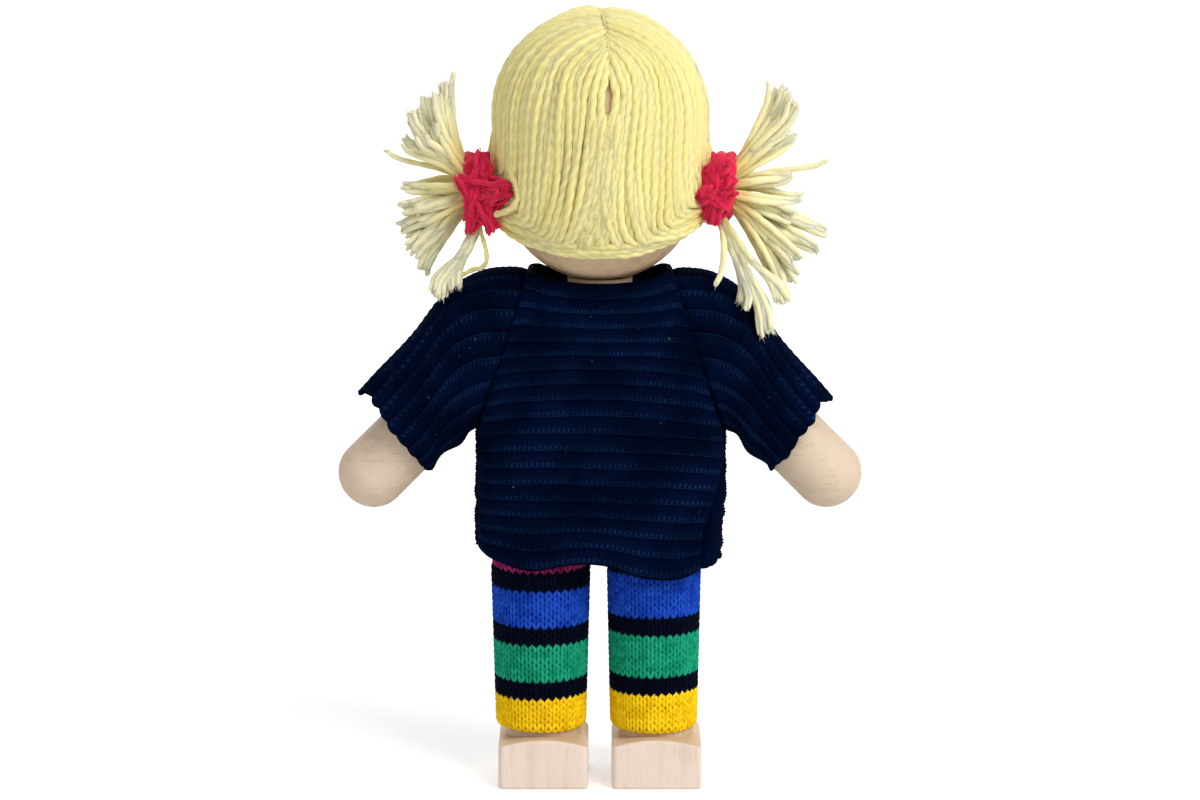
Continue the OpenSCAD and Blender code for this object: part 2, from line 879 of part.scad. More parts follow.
module left_legging() {
    legging(1);
}

module right_legging() {
    legging(-1);
}

// Outline of the seat, inset by the wall: a rectangle with round corners
module seat_outline(wall) {
    round_r = seat_half_d * seat_round_share;
    w = seat_half_w - wall;
    d = seat_half_d - wall;
    r = round_r - wall;
    union() {
        translate([-w + r, -d])
            square([2 * (w - r), 2 * d]);
        translate([-w, -d + r])
            square([2 * w, 2 * (d - r)]);
        for (x = [-1, 1], y = [-1, 1])
            translate([x * (w - r), y * (d - r)])
                circle(r, $fn = 32);
    }
}

module leggings_seat() {
    color(navy)
        translate([0, 0, leg_top_z])
            linear_extrude(waist_z - leg_top_z)
                difference() {
                    seat_outline(0);
                    seat_outline(seat_t);
                }
}

torso();
hip_axle();
leggings_seat();
sweater_front();
sweater_back();
left_side_seam();
right_side_seam();
head();
neck_peg();
hair_left();
hair_right();
parting_stitch();
left_bunch();
right_bunch();
left_bunch_ends();
right_bunch_ends();
left_hair_tie();
right_hair_tie();
left_arm();
right_arm();
left_shoulder_peg();
right_shoulder_peg();
left_sleeve();
right_sleeve();
left_leg();
right_leg();
left_foot();
right_foot();
left_foot_peg();
right_foot_peg();
left_legging();
right_legging();
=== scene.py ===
"""Wooden peg doll in a yarn wig, a rib-knit sweater and striped leggings, dressed over its CAD frame.

It faces -Y, its left side is +X and it stands on the floor at Z 0. Sizes are in millimetres until
a mesh is made.
"""
import math

import bmesh
import bpy
import numpy as np
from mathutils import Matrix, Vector


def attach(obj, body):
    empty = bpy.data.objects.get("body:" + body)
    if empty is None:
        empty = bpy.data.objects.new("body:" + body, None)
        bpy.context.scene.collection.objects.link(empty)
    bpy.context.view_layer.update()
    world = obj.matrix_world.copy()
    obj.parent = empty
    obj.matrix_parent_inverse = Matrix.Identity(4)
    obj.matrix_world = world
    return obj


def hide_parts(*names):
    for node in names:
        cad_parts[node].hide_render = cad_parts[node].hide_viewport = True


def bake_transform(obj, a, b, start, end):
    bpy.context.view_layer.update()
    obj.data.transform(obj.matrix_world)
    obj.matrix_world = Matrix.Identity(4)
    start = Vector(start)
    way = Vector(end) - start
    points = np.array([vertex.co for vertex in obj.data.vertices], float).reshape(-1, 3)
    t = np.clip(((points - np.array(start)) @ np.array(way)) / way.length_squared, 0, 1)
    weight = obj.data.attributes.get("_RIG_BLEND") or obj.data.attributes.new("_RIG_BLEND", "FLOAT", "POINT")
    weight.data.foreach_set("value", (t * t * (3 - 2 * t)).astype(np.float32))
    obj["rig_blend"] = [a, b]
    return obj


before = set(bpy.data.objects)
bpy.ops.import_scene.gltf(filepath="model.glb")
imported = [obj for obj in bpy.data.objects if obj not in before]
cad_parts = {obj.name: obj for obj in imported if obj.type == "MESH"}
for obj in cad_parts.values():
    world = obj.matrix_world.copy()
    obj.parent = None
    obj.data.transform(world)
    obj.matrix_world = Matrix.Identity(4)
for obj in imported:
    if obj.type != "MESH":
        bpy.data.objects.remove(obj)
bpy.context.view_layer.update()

MM = 0.001
SIDES = {"left": 1, "right": -1}

# Head and wig
HEAD_R = 18.6
HEAD_FLAT_Z = 95.7
HEAD_LOW_Z = 113.306
HEAD_HIGH_Z = 125.306
NECK_R = 6
YARN_R = 0.8
YARN_LIFT = 0.56
YARN_TURN = 5.2
CROWN_ANGLE = 141
BROW_ANGLE = 37
FIRST_AZIMUTH = 2.6
LAST_AZIMUTH = 88
TIE_AZIMUTH = 82
FALLING_YARNS = 20
SIDE_YARNS = 15
THREAD_R = 0.28
SLIT_Z = 130.6
CROWN_SPREAD = 42
SIDE_SPREAD = 45
# Where the first of the falling yarns turns at the nape and reaches the tie, and how much higher
# the last one does
NAPE_Z = 102.0
NAPE_RISE = 14.3
TIED_Z = 107.7
TIED_RISE = 8.2

# Bunches and ties
BUNCH_Z = 112.1
BUNCH_R = 4.3
BUNCH_X = 21.2
OPEN_X = 25.2
ROOT_X = BUNCH_X + 1.5
TIE_R = 1.15
TIE_RING_R = 5.4
TIE_X = 21
TIE_STEP = 1.75
TIE_TURNS = 2.3
TIE_RINGS = 150
TIE_KNOT = (21.4, 7.4, BUNCH_Z - 0.4)
FRAYED_YARNS = 36
FRAYED_RINGS = 16
LOCK_RINGS = 44

# Arms and legs
SHOULDER_X = 17
SHOULDER_Z = 83.8
ARM_R = 6.3
ARM_L = 36
ARM_SPLAY = 45
STANCE = 10.6
FOOT_W = 16.8
FOOT_L = 26
HEEL_BACK = 10
FOOT_H = 9.5
FOOT_ARCH = 1.4
FOOT_CORNER_R = 1.1
FOOT_EDGE_R = 0.5

# Painted face: degrees from the middle of the front, heights, and half sizes
EYE_AZIMUTH = 19
EYE_Z = 115.5
EYE_HALF_W = 1.15
EYE_HALF_H = 1.45
EYE_PROUD = 0.16
SMILE_AZIMUTH = 12.5
SMILE_Z = 108.2
SMILE_RISE = 1.7
SMILE_R = 0.33
CHEEK = (10.8, -15.2, 110.8)

# Sweater
KNIT_T = 0.75
HEM_HALF_W = 22.9
BODY_HALF_W = 22.6
BODY_HALF_D = 12
HEM_Z = 43.4
UNDERARM_Z = 67.3
COLLAR_Z = 97
COLLAR_DIP = 2
COLLAR_HALF_W = 13.2
COLLAR_HALF_D = 8.6
ARMHOLE_HALF_D = 11
SECTION_POWER = 3.6
BODY_RIBS = 18
SPLIT_RIB = 7
STITCH_W = 0.95
# How deep the hem sags over each leg, the place of the middle of the sag, and its width
LEFT_SAG = (1.7, 12.9, 5.8)
RIGHT_SAG = (2.5, -11.2, 7.6)
SEAM_LOW_Z = {"left": 44.9, "right": 42.4}
SEAM_Y = {"left": 0.3, "right": 1.6}
SEAM_R = 0.58
FLAP_TOP_Z = 62
CUFF_LOW = (31.3, 59.1)
CUFF_HALF_D = 9.3
SHOULDER_LINE = {"left": ((21.5, 96.6), (28.6, 92.8), (35.2, 84.2), (43.4, 75.4)),
                 "right": ((21.0, 96.2), (27.8, 92.0), (34.2, 83.0), (42.0, 74.2))}
SLEEVE_RIBS = 20
SLEEVE_L = 27
SLEEVE_ROUND = 58
SLEEVE_LINE_POINTS = 400
BLEND_TOP_Z = 58
BLEND_LOW_Z = 45

# Leggings
WALES = 36
COURSE_H = {"left": 1.15, "right": 1.13}
HEM_LEG_Z = {"left": 10.7, "right": 10.5}
ANKLE_R = {"left": 8.6, "right": 8.3}
THIGH_R = {"left": 9.5, "right": 9.0}
HANG_X = 0.5
LOOP_R = 0.36
LOOP_DEPTH = 0.22
LOOP_RINGS = 14
SEAT_HALF_W = 20.2
SEAT_HALF_D = 9.8
SEAT_POWER = 5
SEAT_LOW_Z = 44
SEAT_HIGH_Z = 63
SEAT_BLEND_TOP_Z = 57
SEAT_IN = 0.4
GROUND_COLUMNS = 96


# Numbers and points

def steps(count):
    """Even steps from 0 to 1."""
    return np.linspace(0, 1, count)


def round_turn(count):
    """Even angles round a full turn."""
    return np.arange(count) * 2 * math.pi / count


def eased(x, low, high):
    """Rises smoothly from 0 at low to 1 at high."""
    t = np.clip((x - low) / (high - low), 0, 1)
    return t * t * (3 - 2 * t)


def unit(v):
    """Vectors at length 1."""
    return v / np.maximum(np.linalg.norm(v, axis=-1, keepdims=True), 1e-9)


def stacked(*parts):
    """Joins coordinates of any matching shapes into points."""
    return np.stack(np.broadcast_arrays(*parts), axis=-1)


def through(knots, count):
    """Smooth paths through the knots: cubic pieces whose slope at a knot is half the step from
    the knot before to the knot after. Knots are (paths, knots, 3)."""
    number = knots.shape[1]
    padded = np.concatenate(
        [2 * knots[:, :1] - knots[:, 1:2], knots, 2 * knots[:, -1:] - knots[:, -2:-1]], axis=1)
    at = steps(count) * (number - 1)
    first = np.minimum(at.astype(int), number - 2)
    t = (at - first)[None, :, None]
    a, b, c, d = (padded[:, first + k] for k in range(4))
    return 0.5 * (2 * b + (c - a) * t + (2 * a - 5 * b + 4 * c - d) * t ** 2
                  + (3 * b - a - 3 * c + d) * t ** 3)


def waves(seed, count, low, high, size):
    """A smooth wandering function of one number: a sum of sines of random length and start."""
    draw = np.random.default_rng(seed)
    speed = draw.uniform(low, high, count)
    start = draw.uniform(0, 2 * math.pi, count)
    return lambda x: size * np.sin(np.multiply.outer(x, speed) + start).mean(axis=-1)


# Meshes

def grid_faces(rows, columns, ring=False, loop=False):
    """Four-point faces of a grid; ring joins the last column to the first, loop the last row."""
    r = np.arange(rows if loop else rows - 1)[:, None]
    c = np.arange(columns if ring else columns - 1)[None, :]
    r1, c1 = (r + 1) % rows, (c + 1) % columns
    return stacked(r * columns + c, r * columns + c1, r1 * columns + c1, r1 * columns + c).reshape(-1, 4)


def make_piece(name, points, faces, material, cloth=None, marks=None, weld=False):
    """A smooth mesh piece from points in millimetres. Cloth is a flat place for each point, marks
    are named values or vectors for each point, and weld joins points that lie on each other."""
    mesh = bpy.data.meshes.new(name)
    mesh.from_pydata(points.reshape(-1, 3) * MM, [], faces)
    mesh.polygons.foreach_set("use_smooth", np.ones(len(mesh.polygons), bool))
    if cloth is not None:
        corner = np.zeros(len(mesh.loops), np.int32)
        mesh.loops.foreach_get("vertex_index", corner)
        layer = mesh.uv_layers.new(name="cloth")
        layer.data.foreach_set("uv", cloth.reshape(-1, 2)[corner].astype(np.float32).ravel())
    for mark, values in (marks or {}).items():
        wide = values.ndim > 1 and values.shape[-1] == 3
        layer = mesh.attributes.new(mark, "FLOAT_VECTOR" if wide else "FLOAT", "POINT")
        layer.data.foreach_set("vector" if wide else "value", values.astype(np.float32).ravel())
    for each in material if isinstance(material, list) else [material]:
        mesh.materials.append(each)
    piece = bpy.data.objects.new(name, mesh)
    bpy.context.scene.collection.objects.link(piece)
    if weld:
        weld_mesh(mesh)
    mesh.update()
    return piece


def weld_mesh(mesh):
    """Merges points that lie on each other."""
    work = bmesh.new()
    work.from_mesh(mesh)
    bmesh.ops.remove_doubles(work, verts=work.verts, dist=1e-7)
    work.to_mesh(mesh)
    work.free()


def capped(faces, count, rings, sides):
    """Adds flat ends to the faces of tubes that each have rings of so many sides."""
    first = np.arange(count)[:, None] * rings * sides
    around = np.arange(sides)[None, :]
    near = (first + around[:, ::-1]).tolist()
    far = (first + (rings - 1) * sides + around).tolist()
    return faces.tolist() + near + far


def run_along(paths):
    """Length of each path from its start to each of its points."""
    return np.cumsum(np.linalg.norm(np.diff(paths, axis=1, prepend=paths[:, :1]), axis=-1), axis=1)


def tube_points(paths, way, level, size, angle):
    """Points round the paths, at angles round the way and so far from it. Level is a direction
    that the way never has."""
    side = unit(np.cross(way, np.broadcast_to(level, paths.shape)))
    up = np.cross(way, side)
    return (paths[:, :, None] + (size * np.cos(angle))[..., None] * side[:, :, None]
            + (size * np.sin(angle))[..., None] * up[:, :, None])


def tube_faces(count, rings, sides, loop=False):
    """Faces of so many tubes, whose points follow each other tube by tube and ring by ring."""
    faces = grid_faces(rings, sides, ring=True, loop=loop)
    return (faces[None] + (np.arange(count) * rings * sides)[:, None, None]).reshape(-1, 4)


def yarns(paths, level, radius, sides=8, turn=YARN_TURN, lobe=0.28, seed=0, end_share=0.45):
    """Twisted tubes along paths (yarns, rings, 3). At angle a round the path the surface lies
    radius * (1 - lobe * sin(a - twist) squared) from it, and the twist grows by one turn of the
    section for each length called turn. The ends narrow to end_share of the radius."""
    count, rings, _ = paths.shape
    draw = np.random.default_rng(seed)
    run = run_along(paths)
    start = draw.uniform(0, 2 * math.pi, (count, 1))
    twist = (run * 2 * math.pi / turn + start)[..., None]
    angle = round_turn(sides)[None, None]
    near_end = np.minimum(run, run[:, -1:] - run) / np.mean(radius)
    narrow = end_share + (1 - end_share) * np.sqrt(1 - (1 - np.clip(near_end, 0, 1)) ** 2)
    size = (np.broadcast_to(radius, (count, rings)) * narrow)[..., None]
    size = size * (1 - lobe * np.sin(angle - twist) ** 2)
    points = tube_points(paths, unit(np.gradient(paths, axis=1)), level, size, angle)
    apart = draw.uniform(-60, 60, (count, 1, 1))
    fibre = stacked(np.cos(angle - twist), np.sin(angle - twist), run[..., None] * 0.35 + apart)
    tone = np.broadcast_to(draw.uniform(0, 1, (count, 1, 1)), size.shape)
    reach = np.broadcast_to((run / run[:, -1:])[..., None], size.shape)
    marks = {"fibre": fibre.reshape(-1, 3), "tone": tone.ravel(), "reach": reach.ravel()}
    return points.reshape(-1, 3), capped(tube_faces(count, rings, sides), count, rings, sides), marks


def joined(parts):
    """Joins several (points, faces, marks) into one."""
    points, faces, marks, start = [], [], {}, 0
    for some_points, some_faces, some_marks in parts:
        points.append(some_points)
        faces += [[i + start for i in face] for face in some_faces]
        start += len(some_points)
        for mark, values in some_marks.items():
            marks.setdefault(mark, []).append(values)
    return np.concatenate(points), faces, {m: np.concatenate(v) for m, v in marks.items()}


def turned(radii, heights, columns):
    """A turned shape: the profile of radii and heights carried round Z, closed at both ends."""
    angle = round_turn(columns)
    points = stacked(radii[:, None] * np.cos(angle), radii[:, None] * np.sin(angle),
                     heights[:, None] + 0 * angle)
    faces = grid_faces(len(radii), columns, ring=True)
    return points.reshape(-1, 3), capped(faces, 1, len(radii), columns)


# Materials

def linear(code):
    """Linear colour of an sRGB hex value."""
    parts = [int(code[i:i + 2], 16) / 255 for i in (1, 3, 5)]
    return [c / 12.92 if c <= 0.04045 else ((c + 0.055) / 1.055) ** 2.4 for c in parts] + [1.0]


def feed(tree, node, inputs):
    """Sets inputs of a node, each to a value or to another node's output."""
    for name, value in inputs.items():
        if isinstance(value, bpy.types.NodeSocket):
            tree.links.new(value, node.inputs[name])
        else:
            node.inputs[name].default_value = value


def put(tree, kind, inputs=None, stops=(), **settings):
    """Adds a node. Stops are the places and colours of a ramp."""
    made = tree.nodes.new("ShaderNode" + kind)
    for name, value in settings.items():
        setattr(made, name, value)
    feed(tree, made, inputs or {})
    for place, (at, code) in enumerate(stops):
        ramp = made.color_ramp.elements
        stop = ramp[place] if place < 2 else ramp.new(at)
        stop.position = at
        stop.color = linear(code)
    return made


def own_place(tree):
    """The place of a point in its object."""
    return put(tree, "TexCoord").outputs["Object"]


def noise(tree, place, size, detail):
    """Cloudy noise with lumps of about this size in millimetres."""
    return put(tree, "TexNoise", {"Vector": place, "Scale": 1 / (size * MM), "Detail": detail}).outputs[0]


def worked_out(tree, operation, *values):
    """The result of an operation on one, two or three values."""
    return put(tree, "Math", dict(enumerate(values)), operation=operation).outputs[0]


def ramped(tree, value, *stops):
    """The colour that the stops give at the value."""
    return put(tree, "ValToRGB", {"Fac": value}, stops=stops).outputs[0]


def ranged(tree, value, low, high, at_low, at_high, **settings):
    """The value between low and high, carried over to the range from at_low to at_high."""
    return put(tree, "MapRange", {0: value, 1: low, 2: high, 3: at_low, 4: at_high}, **settings).outputs[0]


def mixed(tree, share, first, second, blend_type="MIX"):
    """The first colour with so much of the second one."""
    made = put(tree, "Mix", {0: share, 6: first, 7: second}, data_type="RGBA", blend_type=blend_type)
    return made.outputs[2]


def bumps(tree, height, strength, depth):
    """The direction of a surface with fine bumps of this depth in millimetres."""
    return put(tree, "Bump", {"Strength": strength, "Distance": depth * MM, "Height": height}).outputs[0]


def new_material(name):
    """An empty material and its node tree, with the surface node."""
    material = bpy.data.materials.new(name)
    material.use_nodes = True
    tree = material.node_tree
    tree.nodes.clear()
    surface = put(tree, "BsdfPrincipled")
    put(tree, "OutputMaterial", {"Surface": surface.outputs[0]})
    return material, tree, surface


def sanded_beech(name, grain, deep, light, blush=False, upper=None):
    """Sanded beech, left bare: a pale, pinkish wood with faint streaks and short fine pores that run along the
    grain, and slow changes of tone from handling. Upper is a darker tone for faces that look up, partly another
    side of the grain and partly painted shade."""
    material, tree, surface = new_material(name)
    place = own_place(tree)
    stretch = [0.05 if axis == grain else 1 for axis in "XYZ"]
    along = put(tree, "Mapping", {"Vector": place, "Scale": stretch}).outputs[0]
    streak = noise(tree, along, 1.5, 3)
    pore = noise(tree, along, 0.25, 2)
    cloud = noise(tree, place, 16, 2)
    tint = ramped(tree, worked_out(tree, "MULTIPLY_ADD", cloud, 0.9, streak), (0.6, deep), (1.0, light))
    tint = mixed(tree, 0.5, tint, ramped(tree, pore, (0.28, "#D8C6B4"), (0.4, "#FFFFFF")), "MULTIPLY")
    if upper:
        # Faces that look up are darker: partly another side of the grain, partly painted shade on a top that gets
        # less light than the sides
        normal = put(tree, "NewGeometry").outputs["Normal"]
        top_shade_and_grain = put(tree, "SeparateXYZ", {"Vector": normal}).outputs[2]
        tint = mixed(tree, ranged(tree, top_shade_and_grain, 0.4, 0.9, 0, 0.9), tint, linear(upper))
    if blush:
        # A soft spot of rouge on each cheek
        parts = put(tree, "SeparateXYZ", {"Vector": place}).outputs
        across = worked_out(tree, "ABSOLUTE", parts[0])
        spot = put(tree, "CombineXYZ", {0: across, 1: parts[1], 2: parts[2]}).outputs[0]
        cheek = [c * MM for c in CHEEK]
        away = put(tree, "VectorMath", {0: spot, 1: cheek}, operation="DISTANCE").outputs["Value"]
        rouge = ranged(tree, away, 1.2 * MM, 4.2 * MM, 0.5, 0, interpolation_type="SMOOTHSTEP")
        tint = mixed(tree, rouge, tint, linear("#E89A92"))
    feed(tree, surface, {"Base Color": tint, "Roughness": 0.6, "Specular IOR Level": 0.35,
                         "Normal": bumps(tree, pore, 0.2, 0.05)})
    return material


def spun_yarn(name, deep, light, along=(), change=0.72, bump_depth=0.12, sheen=0.25, soft=0.0, crease_shade=0.35,
              shine=0.25):
    """Spun acrylic yarn: matt, with fine fibres that run round it with its twist, a darker crease between its
    plies that is painted shade, soft sheen, and a tone that differs from yarn to yarn. Along gives colours from
    one end of the yarn to the other: it is deeper where it is gathered in the tie, as painted shade of the packed
    yarns, and paler at its cut ends. Light goes a little way into the paler yarns."""
    material, tree, surface = new_material(name)
    fibre = put(tree, "Attribute", attribute_name="fibre").outputs["Vector"]
    tone = put(tree, "Attribute", attribute_name="tone").outputs["Fac"]
    fine = put(tree, "TexNoise", {"Vector": fibre, "Scale": 2.6, "Detail": 4, "Roughness": 0.65}).outputs[0]
    tint = ramped(tree, worked_out(tree, "MULTIPLY_ADD", tone, 0.35, fine), (0.36, deep), (0.8, light))
    # Deeper towards the tie: painted shade where the yarns are packed together
    if along:
        reach = put(tree, "Attribute", attribute_name="reach").outputs["Fac"]
        tint = mixed(tree, change, tint, ramped(tree, reach, *along))
    # Painted shade in the crease between the plies, where the section is narrowest
    round_it = put(tree, "SeparateXYZ", {"Vector": fibre}).outputs[1]
    groove = worked_out(tree, "MULTIPLY", round_it, round_it)
    tint = mixed(tree, worked_out(tree, "MULTIPLY", groove, crease_shade), tint, linear(deep))
    feed(tree, surface, {
        "Base Color": tint, "Roughness": 0.85, "Sheen Weight": sheen, "Sheen Roughness": 0.5,
        "Specular IOR Level": shine, "Subsurface Weight": soft, "Subsurface Scale": 0.9 * MM,
        "Subsurface Radius": (1.0, 0.85, 0.45), "Normal": bumps(tree, fine, 0.6, bump_depth)})
    return material


def rib_knit(name):
    """Rib knit of navy cotton: plain bands, darker towards the furrow at each whole rib as painted shade, each
    with a thin paler line of thread that is a painted highlight and above it a row of leaning stitches with
    painted highlights in patches, worn paler in places at random and with a few specks of lint. The flat place is
    in millimetres along a rib and in ribs across."""
    material, tree, surface = new_material(name)
    flat = put(tree, "UVMap", uv_map="cloth").outputs[0]
    parts = put(tree, "SeparateXYZ", {"Vector": flat}).outputs
    rib = worked_out(tree, "FRACT", parts[1])
    lean = worked_out(tree, "MULTIPLY", parts[1], 1.5)
    stitch = worked_out(tree, "MULTIPLY_ADD", parts[0], 1 / STITCH_W, lean)
    stitch = worked_out(tree, "PINGPONG", stitch, 0.5)
    place = own_place(tree)
    fuzz = noise(tree, place, 0.3, 4)
    wear_and_highlight_patches = noise(tree, place, 9, 3)
    lint = noise(tree, place, 1.1, 1)
    # Across each rib: painted shade darkens the furrow at each whole rib, and a painted highlight lies along the
    # thin line of thread
    tint = ramped(tree, rib, (0.0, "#020B27"), (1.0, "#020B27"), (0.08, "#020D2C"), (0.115, "#11294E"),
                  (0.16, "#051435"), (0.5, "#041333"), (0.85, "#030F2E"))
    row = ramped(tree, rib, (0.15, "#000000"), (0.42, "#000000"), (0.23, "#FFFFFF"), (0.33, "#FFFFFF"))
    # Painted highlights on the leaning stitches, broken into patches by the same cloud that wears the knit paler
    # in places
    stitch_highlight = worked_out(tree, "MULTIPLY", ranged(tree, stitch, 0.2, 0.45, 0, 1), row)
    stitch_highlight = worked_out(tree, "MULTIPLY", stitch_highlight, ranged(tree, wear_and_highlight_patches, 0.38, 0.62, 0.1, 0.75))
    tint = mixed(tree, stitch_highlight, tint, linear("#1C3862"))
    tint = mixed(tree, ranged(tree, lint, 0.775, 0.8, 0, 0.35), tint, linear("#6E7A90"))
    tint = mixed(tree, 1.0, tint, ramped(tree, wear_and_highlight_patches, (0.38, "#BCBCBC"), (0.62, "#FFFFFF")), "MULTIPLY")
    tint = mixed(tree, 0.8, tint, ramped(tree, fuzz, (0.32, "#7C7C7C"), (0.68, "#FFFFFF")), "MULTIPLY")
    feed(tree, surface, {"Base Color": tint, "Roughness": 0.95, "Specular IOR Level": 0.01,
                         "Normal": bumps(tree, fuzz, 0.6, 0.15)})
    return material


def plain_knit(name, deep, light):
    """Fine plain knit seen from inside or far off: rows of small loops 0.9 mm apart."""
    material, tree, surface = new_material(name)
    rows = put(tree, "TexWave", {"Vector": own_place(tree), "Scale": 1 / (0.9 * MM) / 20, "Distortion": 2,
                                 "Detail": 2, "Detail Scale": 4}, bands_direction="Z").outputs[1]
    feed(tree, surface, {"Base Color": ramped(tree, rows, (0.2, deep), (0.8, light)), "Roughness": 0.95,
                         "Specular IOR Level": 0.15, "Normal": bumps(tree, rows, 0.5, 0.2)})
    return material


def brushed_enamel(name, code):
    """Matt enamel put on with a small brush, so slightly uneven in gloss and thickness."""
    material, tree, surface = new_material(name)
    uneven = noise(tree, own_place(tree), 0.8, 2)
    feed(tree, surface, {"Base Color": linear(code), "Roughness": ranged(tree, uneven, 0, 1, 0.3, 0.5),
                         "Normal": bumps(tree, uneven, 0.2, 0.05)})
    return material


# The same sanded beech in four tones, one per set of parts. The head and the upright pieces are darkest, partly as
# painted shade, as the nape lies in the shade of the hair and collar; the arms are a little paler and the feet
# palest
upright_beech = sanded_beech("sanded_beech_upright", "Z", "#C0A282", "#D0B698")
face_beech = sanded_beech("sanded_beech_face", "Z", "#C2A27E", "#D2B694", blush=True)
# The tops of the feet are darker, partly as grain and partly as painted shade
foot_beech = sanded_beech("sanded_beech_foot", "Z", "#DCC4B0", "#E8D5C6", upper="#CDAE8C")
cross_beech = sanded_beech("sanded_beech_cross", "X", "#C4AC92", "#D5C0A8")
# The wig and bunch yarns turn deeper gold towards the tie, as painted shade of the packed yarns
straw_yarn = spun_yarn("straw_acrylic_yarn", "#CDBB64", "#F5EAA6", soft=0.4, crease_shade=0.22, change=0.6,
                       along=[(0.74, "#EFE29A"), (0.97, "#DDB648")])
cut_yarn = spun_yarn("straw_acrylic_yarn_cut", "#D6CB88", "#F0E8B4", soft=0.5, bump_depth=0.08, crease_shade=0.1,
                     along=[(0.12, "#E6C64E"), (0.95, "#E9E5C8"), (0.5, "#F0E8B4")])
strand_yarn = spun_yarn("straw_acrylic_yarn_loose", "#CDBB64", "#F3E9AE", soft=0.5, bump_depth=0.08,
                        crease_shade=0.15)
red_yarn = spun_yarn("crimson_acrylic_yarn", "#B80A34", "#E41C4A", sheen=0.1, soft=0.3, crease_shade=0.1)
navy_rib = rib_knit("navy_cotton_rib")
navy_yarn = spun_yarn("navy_cotton_yarn", "#01040F", "#06122E", sheen=0, shine=0.05)
navy_seat = plain_knit("navy_plain_knit", "#04081A", "#0E1C40")
STRIPE_COLOURS = {
    "yellow": ("#E2AE04", "#FFDA1E"), "black": ("#01030C", "#050C20"), "green": ("#04765A", "#22A880"),
    "blue": ("#0B2C98", "#2256C6"), "magenta": ("#701A48", "#A83270")}
stripe_yarn = {n: spun_yarn(n + "_cotton_loops", *c, sheen=0, shine=0.03) for n, c in STRIPE_COLOURS.items()}
black_enamel = brushed_enamel("black_enamel", "#15110F")
red_enamel = brushed_enamel("red_enamel", "#B8383C")


# Camera, floor and light

camera = bpy.data.objects.new("camera", bpy.data.cameras.new("camera"))
bpy.context.scene.collection.objects.link(camera)
bpy.context.scene.camera = camera
camera.location = (0, 0.756, 0.2)
camera.rotation_euler = (math.radians(80.4), 0, math.radians(180))
camera.data.lens = 123.5
camera.data.sensor_width = 36
camera.data.clip_end = 50
bpy.context.scene.view_settings.view_transform = "Standard"

FLOOR_R = 4.0
floor_mesh = bpy.data.meshes.new("floor")
turns = round_turn(96)
floor_mesh.from_pydata(stacked(FLOOR_R * np.cos(turns), FLOOR_R * np.sin(turns), 0), [],
                       [list(range(len(turns)))])
floor = bpy.data.objects.new("floor", floor_mesh)
bpy.context.scene.collection.objects.link(floor)
# White paper. It takes the doll's shadow, and to the camera it glows a little: least round the
# doll, where the lamps light it, and more far off
paper, tree, surface = new_material("white_paper")
away = put(tree, "VectorMath", {0: own_place(tree)}, operation="LENGTH").outputs["Value"]
seen = put(tree, "LightPath").outputs["Is Camera Ray"]
glow = worked_out(tree, "MULTIPLY", seen, ranged(tree, away, 0.15, 1.6, 0.36, 0.7))
feed(tree, surface, {"Base Color": linear("#F2F2F2"), "Roughness": 0.9, "Specular IOR Level": 0,
                     "Emission Color": (1, 1, 1, 1), "Emission Strength": glow})
floor_mesh.materials.append(paper)

world = bpy.data.worlds.new("studio")
bpy.context.scene.world = world
world.use_nodes = True
sky = world.node_tree
sky.nodes.clear()
path = put(sky, "LightPath").outputs
seen = worked_out(sky, "MAXIMUM", path["Is Camera Ray"], path["Is Glossy Ray"])
seen = worked_out(sky, "MAXIMUM", seen, path["Is Transmission Ray"])
dome = put(sky, "Background", {"Color": (1, 1, 1, 1), "Strength": 0.4}).outputs[0]
white = put(sky, "Background", {"Color": (1, 1, 1, 1), "Strength": 1.0}).outputs[0]
put(sky, "OutputWorld", {"Surface": put(sky, "MixShader", {0: seen, 1: dome, 2: white}).outputs[0]})


def soft_box(name, place, size, power):
    """A square lamp that faces the doll's middle."""
    lamp = bpy.data.objects.new(name, bpy.data.lights.new(name, "AREA"))
    lamp.data.size = size
    lamp.data.energy = power
    lamp.location = place
    aim = np.array((0, 0, 0.08)) - np.array(place)
    lamp.rotation_euler = Vector(aim).to_track_quat("-Z", "Y").to_euler()
    bpy.context.scene.collection.objects.link(lamp)


soft_box("key", (-0.62, 0.62, 0.8), size=0.7, power=10.5)
soft_box("fill", (0.7, 0.6, 0.4), size=0.7, power=1.0)
soft_box("front", (0.1, -0.9, 0.6), size=0.8, power=5)


# Wood

def head_point(azimuth, height, r=HEAD_R):
    """A point round the head. Azimuth is in degrees from the back towards +X. Above and below
    the straight part the height runs on over the round ends, as an arc of the wood's radius."""
    over = np.clip(height - HEAD_HIGH_Z, 0, None) - np.clip(HEAD_LOW_Z - height, 0, None)
    bend = over / HEAD_R
    turn = np.radians(azimuth)
    return stacked(r * np.cos(bend) * np.sin(turn), r * np.cos(bend) * np.cos(turn),
                   np.clip(height, HEAD_LOW_Z, HEAD_HIGH_Z) + r * np.sin(bend))


def head_core(points):
    """The places on the head's middle line that the points lie round."""
    return stacked(0, 0, np.clip(points[..., 2], HEAD_LOW_Z, HEAD_HIGH_Z))


def outward(points):
    """Directions from the head's middle line out through the points."""
    return unit(points - head_core(points))


def on_head(points, r):
    """The points moved out or in to radius r of the head."""
    return head_core(points) + outward(points) * np.asarray(r)[..., None]


